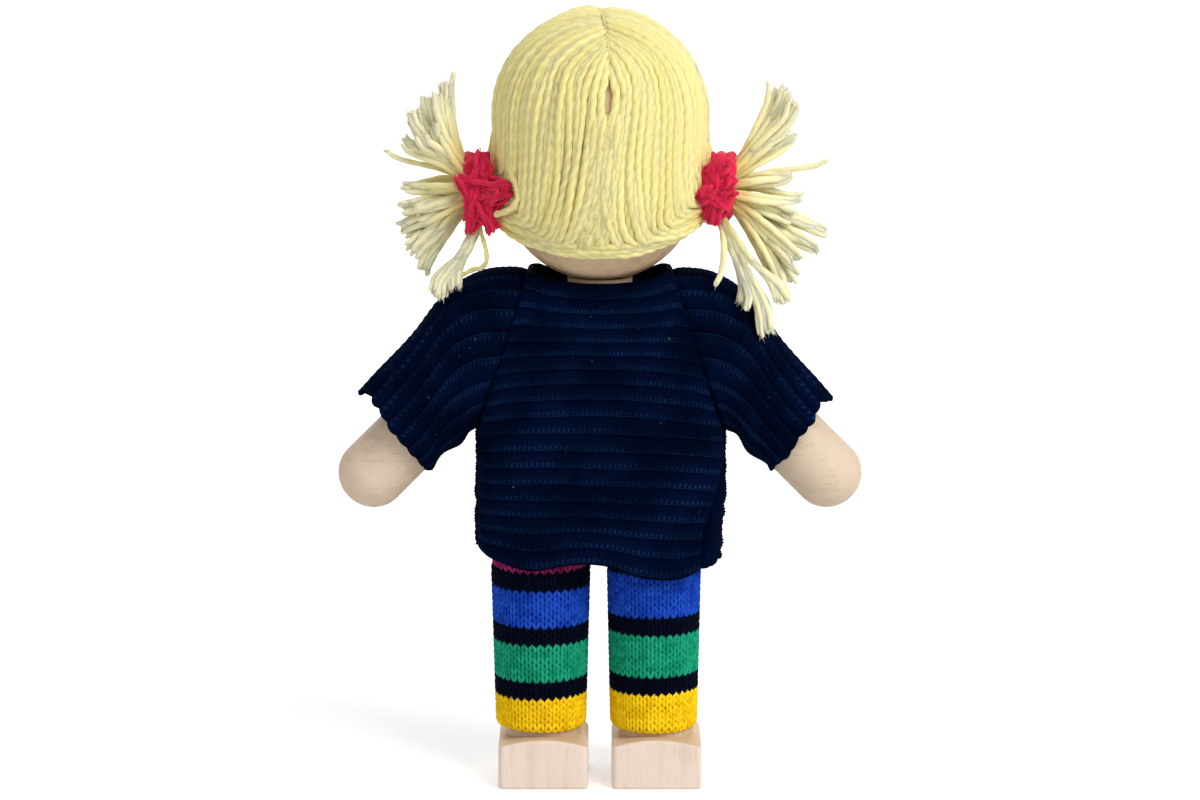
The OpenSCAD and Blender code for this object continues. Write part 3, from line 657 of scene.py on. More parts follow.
LOW_RINGS = 40
HIGH_RINGS = 50
low_end = math.asin((HEAD_LOW_Z - HEAD_FLAT_Z) / HEAD_R)
arc = np.concatenate([-low_end * (1 - steps(LOW_RINGS)), 0.5 * math.pi * steps(HIGH_RINGS)])
core_z = np.where(np.arange(len(arc)) < LOW_RINGS, HEAD_LOW_Z, HEAD_HIGH_Z)
profile_r = np.concatenate([[0.01, NECK_R * 0.6, NECK_R * 0.93], HEAD_R * np.cos(arc[1:-1]), [0.01]])
profile_z = np.concatenate([[HEAD_FLAT_Z, HEAD_FLAT_Z, HEAD_FLAT_Z + 0.05],
                            (core_z + HEAD_R * np.sin(arc))[1:-1], [HEAD_HIGH_Z + HEAD_R]])
head = make_piece("smooth_head", *turned(profile_r, profile_z, 128), face_beech)
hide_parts("head")
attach(head, "head")

for side_name, side in SIDES.items():
    ends = 0.5 * math.pi * steps(28)
    rod_r = np.concatenate([ARM_R * np.sin(ends), ARM_R * np.cos(ends)]) + 0.004
    rod_z = np.concatenate([-ARM_R * np.cos(ends), ARM_L + ARM_R * np.sin(ends)])
    # The hand is a little fuller than the arm
    rod_r = rod_r * (1 + 0.035 * eased(rod_z, ARM_L - 12, ARM_L - 1))
    points, faces = turned(rod_r, rod_z, 72)
    tilt = math.radians(ARM_SPLAY)
    x, y, z = points.T
    points = stacked(side * (SHOULDER_X + z * math.sin(tilt) + x * math.cos(tilt)), y,
                     SHOULDER_Z - z * math.cos(tilt) + x * math.sin(tilt))
    if side > 0:
        faces = [face[::-1] for face in faces]
    arm = make_piece(side_name + "_smooth_arm", points, faces, cross_beech)
    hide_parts(side_name + "_arm")
    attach(arm, side_name + "_arm")


def foot_outline(inset):
    """The foot seen from above: a square heel with round corners and a half-round toe, moved in
    by an inset along its own outward direction."""
    half = FOOT_W / 2
    corner = FOOT_CORNER_R
    quarter = steps(9) * 90
    back_y = HEEL_BACK - corner
    toe_y = HEEL_BACK - FOOT_L + half
    run = (1 - steps(22)[1:-1]) * (back_y - toe_y) + toe_y
    heel = (half - corner) * (1 - 2 * steps(24)[1:-1])
    # Each stretch has its outward direction in degrees, the x and y of its core and its radius
    stretches = [
        (quarter, half - corner, back_y, corner), (90, heel, back_y, corner),
        (90 + quarter, corner - half, back_y, corner), (180, 0, run, half),
        (180 + 180 * steps(49), 0, toe_y, half), (0, 0, run[::-1], half)]
    turn, core_x, core_y, r = np.concatenate([stacked(*stretch) for stretch in stretches]).T
    turn = np.radians(turn)
    return core_x + (r - inset) * np.cos(turn), core_y + (r - inset) * np.sin(turn)


def foot_shape(side):
    """Rings of the outline: from the middle of the sole out, round the edges and over the top,
    which falls to the sides as the square of the distance from the middle."""
    edge = FOOT_EDGE_R
    bend = np.radians(steps(6) * 90)
    rows = [(s, 0.0, 0.0, 0.0) for s in (0.002, 0.5, 0.85)]
    rows += [(1, edge * (1 - math.sin(b)), edge * (1 - math.cos(b)), 0.0) for b in bend]
    rows += [(1, 0, edge + (FOOT_H - 2 * edge) * t, t) for t in steps(8)[1:-1]]
    rows += [(1, edge * (1 - math.cos(b)), FOOT_H - edge + edge * math.sin(b), 1.0) for b in bend]
    rows += [(s, 0.0, FOOT_H, 1.0) for s in np.linspace(0.93, 0.002, 14)]
    rings = []
    for share, inset, z, upper in rows:
        x, y = foot_outline(inset if share == 1 else edge)
        middle_y = HEEL_BACK - FOOT_L / 2
        x, y = x * share, middle_y + (y - middle_y) * share
        fall = FOOT_ARCH * (x / (FOOT_W / 2)) ** 2 * upper
        rings.append(stacked(side * STANCE + x, y, z - fall))
    points = np.array(rings)
    faces = grid_faces(len(rings), points.shape[1], ring=True)
    return points.reshape(-1, 3), capped(faces, 1, len(rings), points.shape[1])


for side_name, side in SIDES.items():
    foot = make_piece(side_name + "_smooth_foot", *foot_shape(side), foot_beech)
    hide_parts(side_name + "_foot")
    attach(foot, side_name + "_leg")

for node, wood in (("torso", upright_beech), ("neck_peg", upright_beech), ("hip_axle", cross_beech),
                   ("left_shoulder_peg", cross_beech), ("right_shoulder_peg", cross_beech),
                   ("left_leg", upright_beech), ("right_leg", upright_beech),
                   ("left_foot_peg", upright_beech), ("right_foot_peg", upright_beech)):
    frame_mesh = bpy.data.objects[node].data
    frame_mesh.materials.clear()
    frame_mesh.materials.append(wood)


# Painted face, of the plainest kind: two dots and a small smile

def face_spot(azimuth, height, across, tall, proud):
    """A low dome on the face: rings that shrink to its middle while they rise from the wood."""
    rings, columns = 9, 28
    ring = np.sin(0.5 * math.pi * steps(rings))[::-1]
    angle = round_turn(columns)
    a = azimuth + np.degrees(across / HEAD_R) * ring[:, None] * np.cos(angle)
    h = height + tall * ring[:, None] * np.sin(angle)
    lift = HEAD_R - 0.05 + proud * np.sqrt(np.clip(1 - ring ** 2, 0, 1))[:, None] + 0 * angle
    points = head_point(a, h, lift)
    faces = grid_faces(rings, columns, ring=True)[:, ::-1].tolist()
    top = list(range((rings - 1) * columns, rings * columns))[::-1]
    return points.reshape(-1, 3), faces + [top], {}


eyes = joined([face_spot(180 + EYE_AZIMUTH * s, EYE_Z, EYE_HALF_W, EYE_HALF_H, EYE_PROUD) for s in (1, -1)])
eyes = make_piece("eyes", eyes[0], eyes[1], black_enamel)
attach(eyes, "head")
smile_at = np.linspace(-1, 1, 40)
smile_path = head_point(180 + SMILE_AZIMUTH * smile_at, SMILE_Z + SMILE_RISE * smile_at ** 2,
                        HEAD_R - 0.02 + 0 * smile_at)[None]
smile = yarns(smile_path, outward(smile_path), SMILE_R * (1 - 0.4 * smile_at ** 2), sides=10, lobe=0)
smile = make_piece("smile", smile[0], smile[1], red_enamel)
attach(smile, "head")


# Wig

def leaned(points):
    """The back of the wig turned a little about the middle line: to the right at the crown and
    to the left at the nape, and not at all at the sides."""
    azimuth = np.arctan2(points[..., 0], points[..., 1])
    share = np.clip(1 - np.abs(azimuth) / math.radians(80), 0, 1)
    shift = np.interp(points[..., 2], [101, 112, 128, 138, 145], [6.5, 1, -4.5, -6, -6])
    turn = -np.radians(shift) * share * (points[..., 1] > 0) * eased(points[..., 1], 0, 6)
    c, s = np.cos(turn), np.sin(turn)
    return stacked(points[..., 0] * c - points[..., 1] * s, points[..., 0] * s + points[..., 1] * c,
                   points[..., 2])


def tie_spot(lift_angle, r):
    """A point inside the tie, at an angle above the back of the bunch."""
    a = np.radians(lift_angle)
    return r * np.cos(a), BUNCH_Z + r * np.sin(a)


def parting_point(angle, x):
    """A point beside the parting; angle 0 looks forward, 90 up and 180 back."""
    a = np.radians(angle)
    return stacked(x, -HEAD_R * np.cos(a), HEAD_HIGH_Z + HEAD_R * np.sin(a))


def falling_knots(share):
    """Yarns that fan out from the crown, fall down the back side by side and turn along the
    hairline to the tie. Share 0 is the one next to the middle, 1 the one that falls at the side."""
    azimuth = FIRST_AZIMUTH + (LAST_AZIMUTH - FIRST_AZIMUTH) * share
    start_angle = CROWN_ANGLE - CROWN_SPREAD * share ** 0.85
    arc_up = HEAD_R * np.radians(180 - start_angle)
    low = NAPE_Z + NAPE_RISE * share ** 1.25
    tied = TIED_Z + TIED_RISE * share
    left = TIE_AZIMUTH - azimuth
    y_tie, z_tie = tie_spot(np.degrees(np.arcsin(np.clip((tied - BUNCH_Z) / BUNCH_R, -1, 1))), BUNCH_R)
    rows = [
        parting_point(start_angle, 0.15),
        head_point(azimuth * 0.9, HEAD_HIGH_Z + arc_up * 0.6),
        head_point(azimuth, HEAD_HIGH_Z + arc_up * 0.22),
        head_point(azimuth, np.maximum(HEAD_LOW_Z + 4, low + 5)),
        head_point(azimuth + left * 0.05, np.maximum(HEAD_LOW_Z - 4, low + 3.0)),
        head_point(azimuth + left * 0.18, low + 0.5),
        head_point(azimuth + left * 0.42, low + (tied - low) * 0.14),
        head_point(azimuth + left * 0.76, low + (tied - low) * 0.5),
        head_point(TIE_AZIMUTH + 0 * share, tied, HEAD_R + 0.4),
        stacked(ROOT_X, y_tie * 0.9, z_tie)]
    return np.stack(rows, axis=1)


def hairline_knots(share):
    """Yarns that come from under the other half and run along the nape to the tie."""
    low = 101.0 + 1.9 * share
    y_tie, z_tie = tie_spot(-70 + 30 * share, BUNCH_R)
    rows = [head_point(a + 0 * share, low + (107.2 - low) * (max(a, 0) / TIE_AZIMUTH) ** 2.3)
            for a in (-16, -2, 12, 27, 42, 57, 70)]
    rows.append(head_point(TIE_AZIMUTH + 0 * share, 107.4 + share, HEAD_R + 0.4))
    rows.append(stacked(ROOT_X, y_tie * 0.9, z_tie))
    return np.stack(rows, axis=1)


def middle_knots(share):
    """Yarns that fall straight down the back under the others, from below the slit to the nape."""
    azimuth = -8 + 16 * share
    rows = [head_point(azimuth, h + 0 * share) for h in (127.2, 121, 114, 107, 103.4, 101.9)]
    return np.stack(rows, axis=1)


def side_knots(share):
    """Yarns from the parting over the side of the head, each first along a great circle square to
    the parting and then straight down to the tie."""
    first_angle = CROWN_ANGLE - SIDE_SPREAD
    a = np.radians(first_angle + (BROW_ANGLE - first_angle) * share)
    rows = []
    for turn in (0.4, 14, 30, 47, 62):
        t = math.radians(turn)
        rows.append(stacked(HEAD_R * math.sin(t), -HEAD_R * math.cos(t) * np.cos(a),
                            HEAD_HIGH_Z + HEAD_R * math.cos(t) * np.sin(a)))
    y_end = rows[-1][:, 1]
    y_tie = 2.5 - 6.6 * share
    z_tie = BUNCH_Z + np.sqrt(np.clip(BUNCH_R ** 2 - y_tie ** 2, 0, None)) * (1 - 0.6 * share)
    low = HEAD_HIGH_Z - 3
    rows.append(stacked(18.4, y_end * 0.85, low))
    rows.append(stacked(18.8, y_end * 0.45 + y_tie * 0.5, z_tie + 3.5))
    rows.append(stacked(19.8, y_tie, z_tie + 0.6))
    rows.append(stacked(ROOT_X, y_tie * 0.95, z_tie))
    return np.stack(rows, axis=1)


def laid_yarns(knots, rings, low_lift, pile, wander, seed):
    """Yarns laid on the head along the knots. Each rides at its own small height, presses down at
    the parting, piles up near the tie and wanders, partly along with its neighbours."""
    draw = np.random.default_rng(seed)
    paths = through(knots, rings)
    count = len(paths)
    order = np.arange(count)[:, None]
    t = steps(rings)[None, :]
    lift = low_lift + 0.3 * (order % 2) * (1 - eased(t, 0.1, 0.3)) - 0.45 * (1 - eased(t, 0, 0.07))
    lift = lift + pile * (order % 3 + 0.25) * eased(t, 0.55, 0.85) + draw.uniform(-0.12, 0.2, (count, 1))
    lift = lift + np.stack([waves(seed + k, 4, 6, 26, 0.3)(t[0]) for k in range(count)])
    out = eased(t, 0.9, 0.995)[..., None]
    paths = on_head(paths, HEAD_R + lift) * (1 - out) + paths * out
    own = np.stack([waves(seed + 500 + k, 4, 8, 30, 1)(t[0]) for k in range(count)])
    shared = np.stack([waves(seed + 700 + k // 3, 3, 4, 15, 1)(t[0]) for k in range(count)])
    clump = 0.35 * np.sin(order * 2.1) * waves(seed + 900, 3, 5, 12, 1)(t[0])[None, :]
    way = unit(np.gradient(paths, axis=1))
    across = np.cross(way, outward(paths))
    fade = eased(t, 0.06, 0.2) * (1 - eased(t, 0.85, 0.97))
    return paths + across * ((0.3 * own + 0.55 * shared + clump) * wander * fade)[..., None]


def wig_half(side, seed):
    """The laid yarns of one half of the wig and, in the gaps between them, a lower layer."""
    falling = steps(FALLING_YARNS)
    between = (falling[:-1] + falling[1:]) / 2
    beside = steps(SIDE_YARNS)[1:] - 0.5 / SIDE_YARNS
    groups = [
        laid_yarns(falling_knots(falling), 120, YARN_LIFT, pile=0.62, wander=1.1, seed=seed),
        laid_yarns(side_knots(steps(SIDE_YARNS)), 110, YARN_LIFT, pile=0.5, wander=0.8, seed=seed + 40),
        laid_yarns(hairline_knots(steps(3)), 90, YARN_LIFT + 0.1, pile=0.1, wander=0.5, seed=seed + 60),
        laid_yarns(middle_knots(steps(9)), 70, 0.3, pile=0.1, wander=0.3, seed=seed + 70),
        laid_yarns(falling_knots(between), 70, 0.2, pile=0.3, wander=0.3, seed=seed + 80),
        laid_yarns(side_knots(beside), 70, 0.2, pile=0.2, wander=0.3, seed=seed + 99)]
    for group in groups:
        group[..., 0] *= side
    # Below the crown the first yarns of both halves part round a slit of bare wood
    for k, push in enumerate((0.24, 0.2, 0.12)):
        groups[0][k, :, 0] += side * push * np.exp(-((groups[0][k, :, 2] - SLIT_Z) / 2.0) ** 2)
    return [leaned(group) for group in groups]


# Of the groups of a half, the first three lie on top, and the fourth falls down the middle
TOP_GROUPS = 3
MIDDLE_GROUP = 3
WIG_SEED = {"left": 40, "right": 2090}
for side_name, side in SIDES.items():
    parts = []
    for group, paths in enumerate(wig_half(side, WIG_SEED[side_name])):
        deep = group >= TOP_GROUPS
        part = yarns(paths, outward(paths), YARN_R * (1.1 if deep else 1), sides=6 if deep else 10,
                     seed=side + 3 + 10 * group, end_share=0.8, lobe=0.22)
        if group == MIDDLE_GROUP:
            # These don't go to the tie, so they go without its painted shade and stay as pale as the middle of the
            # others
            part[2]["reach"] = part[2]["reach"] * 0.7
        parts.append(part)
    points, faces, marks = joined(parts)
    wig = make_piece(side_name + "_wig", points, faces, straw_yarn, marks=marks)
    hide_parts("hair_" + side_name)
    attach(wig, "head")


def loose_strand(name, knots, radius, seed):
    """A single yarn that has come loose, along a smooth path through the knots."""
    points, faces, marks = yarns(through(np.array([knots]), 90), np.array([0.2, 1, 0.1]), radius, sides=10,
                                 seed=seed, turn=5, lobe=0.2)
    strand = make_piece(name, points, faces, strand_yarn, marks=marks)
    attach(strand, "head")


# One hangs beside the left tie and turns back to it, one has slipped down on the left shoulder
loose_strand("loose_yarn", [(16.6, 9.4, 120.0), (16.2, 11.2, 116.4), (14.9, 12.9, 112.8), (15.3, 13.0, 110.6),
                            (17.0, 11.9, 109.0), (19.2, 9.2, 108.0)], radius=0.66, seed=77)
loose_strand("shoulder_yarn", [(22.6, 4.6, 107.5), (21.9, 6.2, 104.6), (21.1, 6.6, 101.8), (20.8, 6.2, 99.4),
                               (21.6, 5.2, 97.8), (23.4, 4.4, 97.2), (25.4, 4.0, 96.2), (27.6, 4.0, 94.9)],
             radius=0.48, seed=78)

thread_angle = np.linspace(BROW_ANGLE + 3, CROWN_ANGLE + 14, 150)
thread_path = leaned(parting_point(thread_angle, 0 * thread_angle))[None]
thread_path = on_head(thread_path, HEAD_R + 0.75 + 0.2 * np.sin(thread_angle * 1.6)[None])
points, faces, marks = yarns(thread_path, outward(thread_path), THREAD_R, sides=8, turn=1.6, seed=11)
thread = make_piece("parting_thread", points, faces, straw_yarn, marks=marks)
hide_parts("parting_stitch")
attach(thread, "head")


# Bunches: each lock has its lift above level and length, number of yarns, spread and turn back

LEFT_LOCKS = (
    (84, 22.0, 2, 0.3, 6), (78, 19.4, 8, 1.2, 2), (71, 18.8, 7, 1.1, 10), (63, 18.8, 6, 0.9, -6),
    (54, 16.8, 8, 1.3, 6), (41, 14.4, 5, 0.8, 2), (60, 13.5, 9, 2.6, 12), (23, 16.9, 1, 0.3, 2),
    (2, 11.9, 5, 0.8, -4), (-19, 13.2, 8, 1.2, 8), (-34, 14.4, 11, 1.7, -2), (-49, 15.8, 11, 1.7, 6),
    (-61, 17.0, 10, 1.4, 0), (-28, 10.6, 10, 2.6, 10))
LEFT_ENDS = ((-75, 20.6, 14, 1.9, 20), (-84, 19.2, 11, 1.3, 21))
RIGHT_LOCKS = (
    (74, 20.4, 1, 0.3, 4), (63, 20.6, 11, 1.5, 2), (55, 19.6, 11, 1.5, 8), (42, 14.8, 9, 1.4, -6),
    (17, 18.4, 1, 0.3, 6), (12, 11.4, 5, 0.8, 14), (-7, 13.2, 4, 0.7, 10), (-27, 19.4, 6, 0.8, -4),
    (-24, 12.4, 8, 1.6, 8), (-40, 19.4, 6, 0.9, 4), (-50, 17.6, 10, 1.6, 10), (-59, 21.0, 12, 1.9, -4),
    (-66, 23.0, 9, 1.4, 6))
RIGHT_ENDS = (
    (-66, 24.5, 10, 1.6, 20), (-76, 28.0, 11, 1.5, 19), (-86, 22.5, 9, 1.2, 23), (-102, 20.0, 1, 0.3, 27))


def lock_paths(locks, seed, hanging):
    """Yarns of the locks: out of the tie along the bunch, then bent to where the lock points. The
    yarns of a lock end side by side, spread across it, and the cut ends differ a little."""
    draw = np.random.default_rng(seed)
    rows, lock_of = [], []
    for lift, length, number, spread, turn in locks:
        lock_of += [len(rows)] * number
        place = (np.arange(number) + 0.5) / number * 2 - 1 + draw.uniform(-0.15, 0.15, number)
        depth = draw.uniform(-1, 1, number) * (0.3 + spread * 0.8)
        reach = length * draw.uniform(0.95, 1.03, number)
        up, back = math.radians(lift), math.radians(turn)
        rise, ahead = math.sin(up), math.cos(up)
        way = np.array([ahead * math.cos(back), math.sin(back), rise * math.cos(back)])
        across = np.array([-rise, 0, ahead])
        if hanging:
            start_y = 4.4 + 0 * place
            start_z = -2.2 - 1.2 * place
        else:
            start_z = BUNCH_R * 0.85 * rise + 0.9 * place
            start_y = draw.uniform(-1, 1, number) * np.sqrt(np.clip(BUNCH_R ** 2 - start_z ** 2, 0.2, None))
        root = stacked(BUNCH_X + 0.3, start_y, BUNCH_Z + start_z)
        mouth = stacked(OPEN_X - 0.6, start_y * 1.05, BUNCH_Z + start_z * 1.05)
        if hanging:
            mouth = mouth + np.array([-2.3, 0.3, -3.4])
        middle = np.array([OPEN_X - 0.5, 0, BUNCH_Z])
        side_step = across * (place * spread)[:, None] + stacked(0, depth, 0 * depth)
        tip = middle + way * reach[:, None] + side_step
        bend = mouth + way * (reach * 0.3)[:, None] + stacked(reach * 0.08, 0, 0) + side_step * 0.35
        late = mouth * 0.25 + tip * 0.75 + stacked(reach * 0.05, 0, -0.35)
        rows.append(np.stack([root, mouth, bend, late, tip], axis=1))
    paths = through(np.concatenate(rows), LOCK_RINGS)
    t = steps(LOCK_RINGS)
    loose = eased(t, 0.25, 1)[None, :, None]

    def stray(first_seed, high, size):
        return np.stack([waves(first_seed + axis, 3, 2, high, size)(t) for axis in range(3)], axis=-1)

    own = np.stack([stray(seed + 31 * k, 8, 0.4) for k in range(len(paths))])
    shared = np.stack([stray(seed + 5000 + 31 * k, 5, 0.7) for k in range(len(rows))])[lock_of]
    return paths + (own + shared) * loose, np.array(lock_of)


def rolled_level(paths):
    """A direction that no path of a bunch runs along."""
    way = unit(paths[:, -1] - paths[:, 0])
    return unit(np.cross(way, np.array([0.05, 1.0, 0.1])))[:, None]


def bunch_piece(name, locks, side, seed, hanging, nodes):
    """A bunch of soft yarn, fullest in its middle and a little brushed out at its cut ends. The
    yarns of a lock are nearly alike in tone, so that they merge into one band."""
    paths, lock_of = lock_paths(locks, seed, hanging)
    paths[..., 0] *= side
    t = steps(LOCK_RINGS)[None]
    draw = np.random.default_rng(seed)
    fullness = 0.9 + 0.22 * np.sin(math.pi * t) - 0.2 * eased(t, 0.8, 1)
    size = draw.uniform(0.52, 0.66, (len(paths), 1)) * fullness
    body = yarns(paths, rolled_level(paths), size, sides=10, turn=6.5, lobe=0.13, seed=seed, end_share=0.55)
    own = body[2]["tone"].reshape(len(paths), -1)
    body[2]["tone"] = (own * 0.35 + draw.uniform(0, 0.65, len(locks))[lock_of][:, None]).ravel()
    brush = tip_fibres(paths, seed)
    points, faces, marks = joined([body, brush])
    piece = make_piece(name, points, faces, cut_yarn, marks=marks)
    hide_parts(*nodes)
    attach(piece, "head")


def single_fibres(draw, starts, ways, length, stray, level, radius, seed):
    """Thin fibres from the starts along the ways, each bent a little at random. The radius is given
    for each of their five points."""
    t = steps(5)[None, :, None]
    bent = draw.normal(0, stray, (len(ways), 1, 3)) * t ** 2
    lines = starts[:, None] + ways[:, None] * length * t + bent
    return yarns(lines, np.array(level), radius, sides=3, lobe=0, seed=seed)


def tip_fibres(paths, seed):
    """Single fibres that stand out of the cut ends, straight on with a little spread."""
    draw = np.random.default_rng(seed + 900)
    each = 5
    ends = np.repeat(paths[:, -1], each, axis=0)
    way = np.repeat(unit(paths[:, -1] - paths[:, -4]), each, axis=0)
    count = len(ends)
    ways = unit(way + draw.normal(0, 0.25, (count, 3)))
    starts = ends - way * 0.8 + draw.normal(0, 0.22, (count, 3))
    length = draw.uniform(0.8, 1.5, (count, 1, 1))
    points, faces, marks = single_fibres(draw, starts, ways, length, 0.18, (0.31, 0.9, 0.2),
                                         0.09 * (1.15 - steps(5)), seed + 5)
    marks["reach"] = np.ones_like(marks["reach"])
    return points, faces, marks


bunch_piece("left_yarn_bunch", LEFT_LOCKS, 1, 210, False, ["left_bunch"])
bunch_piece("right_yarn_bunch", RIGHT_LOCKS, -1, 310, False, ["right_bunch"])
bunch_piece("left_long_yarns", LEFT_ENDS, 1, 410, True, ["left_bunch_ends"])
bunch_piece("right_long_yarns", RIGHT_ENDS, -1, 510, True, ["right_bunch_ends"])


# Ties: turns of fluffy yarn, a knot at the back and its frayed ends

LEFT_TAILS = ((21.4, 6.2, 118.6), (25.6, 6.8, 113.8), (16.6, 12.2, 113.2), (23.9, 7.0, 105.2),
              (19.4, 8.8, 105.0))
RIGHT_TAILS = ((20.6, 6.2, 117.4), (23.2, 6.4, 116.4), (23.6, 7.4, 112.6), (19.8, 7.8, 106.6),
               (18.4, 9.2, 111.0))


def tie_parts(tails, seed):
    """The turns lie side by side round the bunch, and each frayed end fans out from the knot."""
    draw = np.random.default_rng(seed)
    turn = steps(TIE_RINGS) * TIE_TURNS
    angle = 2 * math.pi * turn + 1.2
    wobble = waves(seed, 5, 3, 9, 0.35)(turn)
    ring_r = TIE_RING_R + wobble
    ring = stacked(TIE_X + TIE_STEP * (turn - 0.3) + wobble * 0.6, ring_r * np.cos(angle),
                   BUNCH_Z + ring_r * np.sin(angle))[None]
    body = yarns(ring, np.array([1.0, 0, 0]), TIE_R * (1 + 0.12 * np.sin(turn * 40)), sides=14, turn=5,
                 lobe=0.2, seed=seed)
    knot = np.array(TIE_KNOT)
    knot_angle = steps(60) * 4 * math.pi
    loop = (knot + stacked(1.5 * np.cos(knot_angle), 0.75 * np.sin(knot_angle * 0.5) - 0.2,
                           1.7 * np.sin(knot_angle)))[None]
    knot_part = yarns(loop, np.array([0, 1.0, 0]), TIE_R, sides=12, turn=5, lobe=0.2, seed=seed + 1)
    lines = []
    for tail in tails:
        tip = np.array(tail)
        for _ in range(FRAYED_YARNS):
            start = knot + draw.normal(0, 1.3, 3) * np.array([1.0, 0.3, 1.0])
            end = tip + draw.normal(0, 0.7, 3) * np.array([1.0, 0.5, 1.0])
            end = start + (end - start) * draw.uniform(0.65, 1)
            bend = (start + end) / 2 + draw.normal(0, 0.4, 3) + np.array([0, 0.5, 0])
            lines.append([start, bend, end])
    lines = through(np.array(lines), FRAYED_RINGS)
    frayed = yarns(lines, np.array([0.2, 1.0, 0.1]), 0.5, sides=6, turn=3, lobe=0.2, seed=seed + 2)
    way = unit(lines[:, -1] - lines[:, 0])
    # Single hairs, most from the frayed ends and some from the turns
    on_ends, on_turns = 1800, 420
    pick = draw.integers(0, len(lines), on_ends)
    step = draw.integers(4, FRAYED_RINGS, on_ends)
    fluff_start = np.concatenate([lines[pick, step], ring[0][draw.integers(0, TIE_RINGS, on_turns)]])
    away = unit(fluff_start - np.array([knot[0], 0, BUNCH_Z]))
    away[:on_ends] = unit(away[:on_ends] * 0.5 + way[pick])
    away = unit(away + draw.normal(0, 0.45, away.shape))
    length = draw.uniform(0.5, 1.2, (len(away), 1, 1))
    fluff = single_fibres(draw, fluff_start + away * 0.35, away, length, 0.3, (0.31, 0.87, 0.23),
                          0.07 * (1.2 - steps(5)), seed + 3)
    return joined([body, knot_part, frayed, fluff])


for side_name, side in SIDES.items():
    points, faces, marks = tie_parts(LEFT_TAILS if side > 0 else RIGHT_TAILS, 610 + side)
    points[:, 0] *= side
    if side < 0:
        faces = [face[::-1] for face in faces]
    tie = make_piece(side_name + "_fluffy_tie", points, faces, red_yarn, marks=marks)
    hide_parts(side_name + "_hair_tie")
    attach(tie, "head")


# Sweater

def rounded_box(last_turn, power):
    """A box with round corners and half sizes of 1, from the middle of one side to an angle. The
    higher the power, the squarer it is."""
    turn = np.linspace(0, last_turn, 4001)
    c, s = np.cos(turn), np.sin(turn)
    return np.sign(c) * np.abs(c) ** (2 / power), np.sign(s) * np.abs(s) ** (2 / power)


def run_of(x, y):
    """Length of a flat line from its start to each of its points."""
    return np.concatenate([[0], np.cumsum(np.hypot(np.diff(x), np.diff(y)))])


def section_steps(count):
    """Places across a panel, evenly spaced along its rounded section, and the section's length."""
    x, y = rounded_box(math.pi, SECTION_POWER)
    run = run_of(x * BODY_HALF_W, y * BODY_HALF_D)
    return -np.interp(np.linspace(0, run[-1], count), run, x), run[-1]


def raglan(z):
    """Share of the way from the underarm up to the neckline."""
    return np.clip((z - UNDERARM_Z) / (COLLAR_Z - UNDERARM_Z), 0, 1)


def right_tuck(z):
    """How far the right side is drawn in by its seam, more towards the hem."""
    return 1.1 * eased(z, 58, 44)


def body_point(s, rib, side):
    """A point of the front (side -1) or back (side 1), at share s across and so many ribs up.
    The section is a rounded box, and above the underarms it narrows along the raglan lines."""
    v = rib / BODY_RIBS
    x_hem = s * HEM_HALF_W
    hem = HEM_Z + 0.04 * x_hem + 0.7 * eased(x_hem, 20.5, 22.9)
    deep, middle, wide = LEFT_SAG
    sag = deep * np.exp(-((x_hem - middle) / wide) ** 2)
    deep, middle, wide = RIGHT_SAG
    sag = sag + deep * np.exp(-(np.abs(x_hem - middle) / wide) ** 3)
    # The sag fades out above the hem, where the ribs end lower at the sides
    sag = sag * (1 - v) ** 8 + 2.0 * np.abs(s) ** 4 * (1 - (1 - v) ** 12) * (1 - v ** 3)
    top = COLLAR_Z + 0.4 * np.exp(-((np.abs(s) - 0.88) / 0.12) ** 2) - COLLAR_DIP * (1 - s * s)
    arch = 2.0 * np.exp(-((v - 0.6) / 0.22) ** 2) * (1 - s * s)
    z = hem + (top - hem) * v + arch - sag
    up = raglan(z)
    half_w = np.where(z < UNDERARM_Z, BODY_HALF_W + (HEM_HALF_W - BODY_HALF_W)
                      * (UNDERARM_Z - z) / (UNDERARM_Z - HEM_Z),
                      BODY_HALF_W + (COLLAR_HALF_W - BODY_HALF_W) * up)
    half_w = half_w - right_tuck(z) * eased(-s, 0.3, 1)
    edge_y = ARMHOLE_HALF_D * np.sqrt(np.clip(1 - (2 * up - 1) ** 2, 0, None)) * (z >= UNDERARM_Z)
    mid_y = np.maximum(edge_y, BODY_HALF_D + (COLLAR_HALF_D - BODY_HALF_D) * up ** 3)
    bulge = np.clip(1 - np.abs(s) ** SECTION_POWER, 0, None) ** (1 / SECTION_POWER)
    return stacked(half_w * s, side * (edge_y + (mid_y - edge_y) * bulge), z)


def rib_relief(rib, run):
    """Height of the knit over its cloth: a soft furrow at each whole rib, a thin line of thread
    above it, and a band with a row of leaning stitches and plain ones."""
    r = rib % 1
    near = np.minimum(r, 1 - r)
    furrow = -0.06 * np.exp(-(near / 0.1) ** 2)
    thread = 0.06 * np.exp(-((r - 0.115) / 0.035) ** 2)
    row = np.exp(-((r - 0.29) / 0.11) ** 2)
    stitch = 0.08 * row * np.cos(2 * math.pi * (run / STITCH_W + rib * 1.5))
    plain = 0.04 * np.cos(2 * math.pi * run / STITCH_W * 1.5) * np.clip(1 - ((r - 0.65) / 0.3) ** 6, 0, 1)
    return furrow + thread + stitch + plain + 0.07 * row + 0.05


def cloth_faces(points, turned_over):
    """Faces of a grid of points, turned over or not."""
    faces = grid_faces(points.shape[0], points.shape[1])
    return (faces[:, ::-1] if turned_over else faces).tolist()


def grid_normals(points):
    """Outward directions of a grid of points, from its steps along rows and columns."""
    return unit(np.cross(np.gradient(points, axis=1), np.gradient(points, axis=0)))


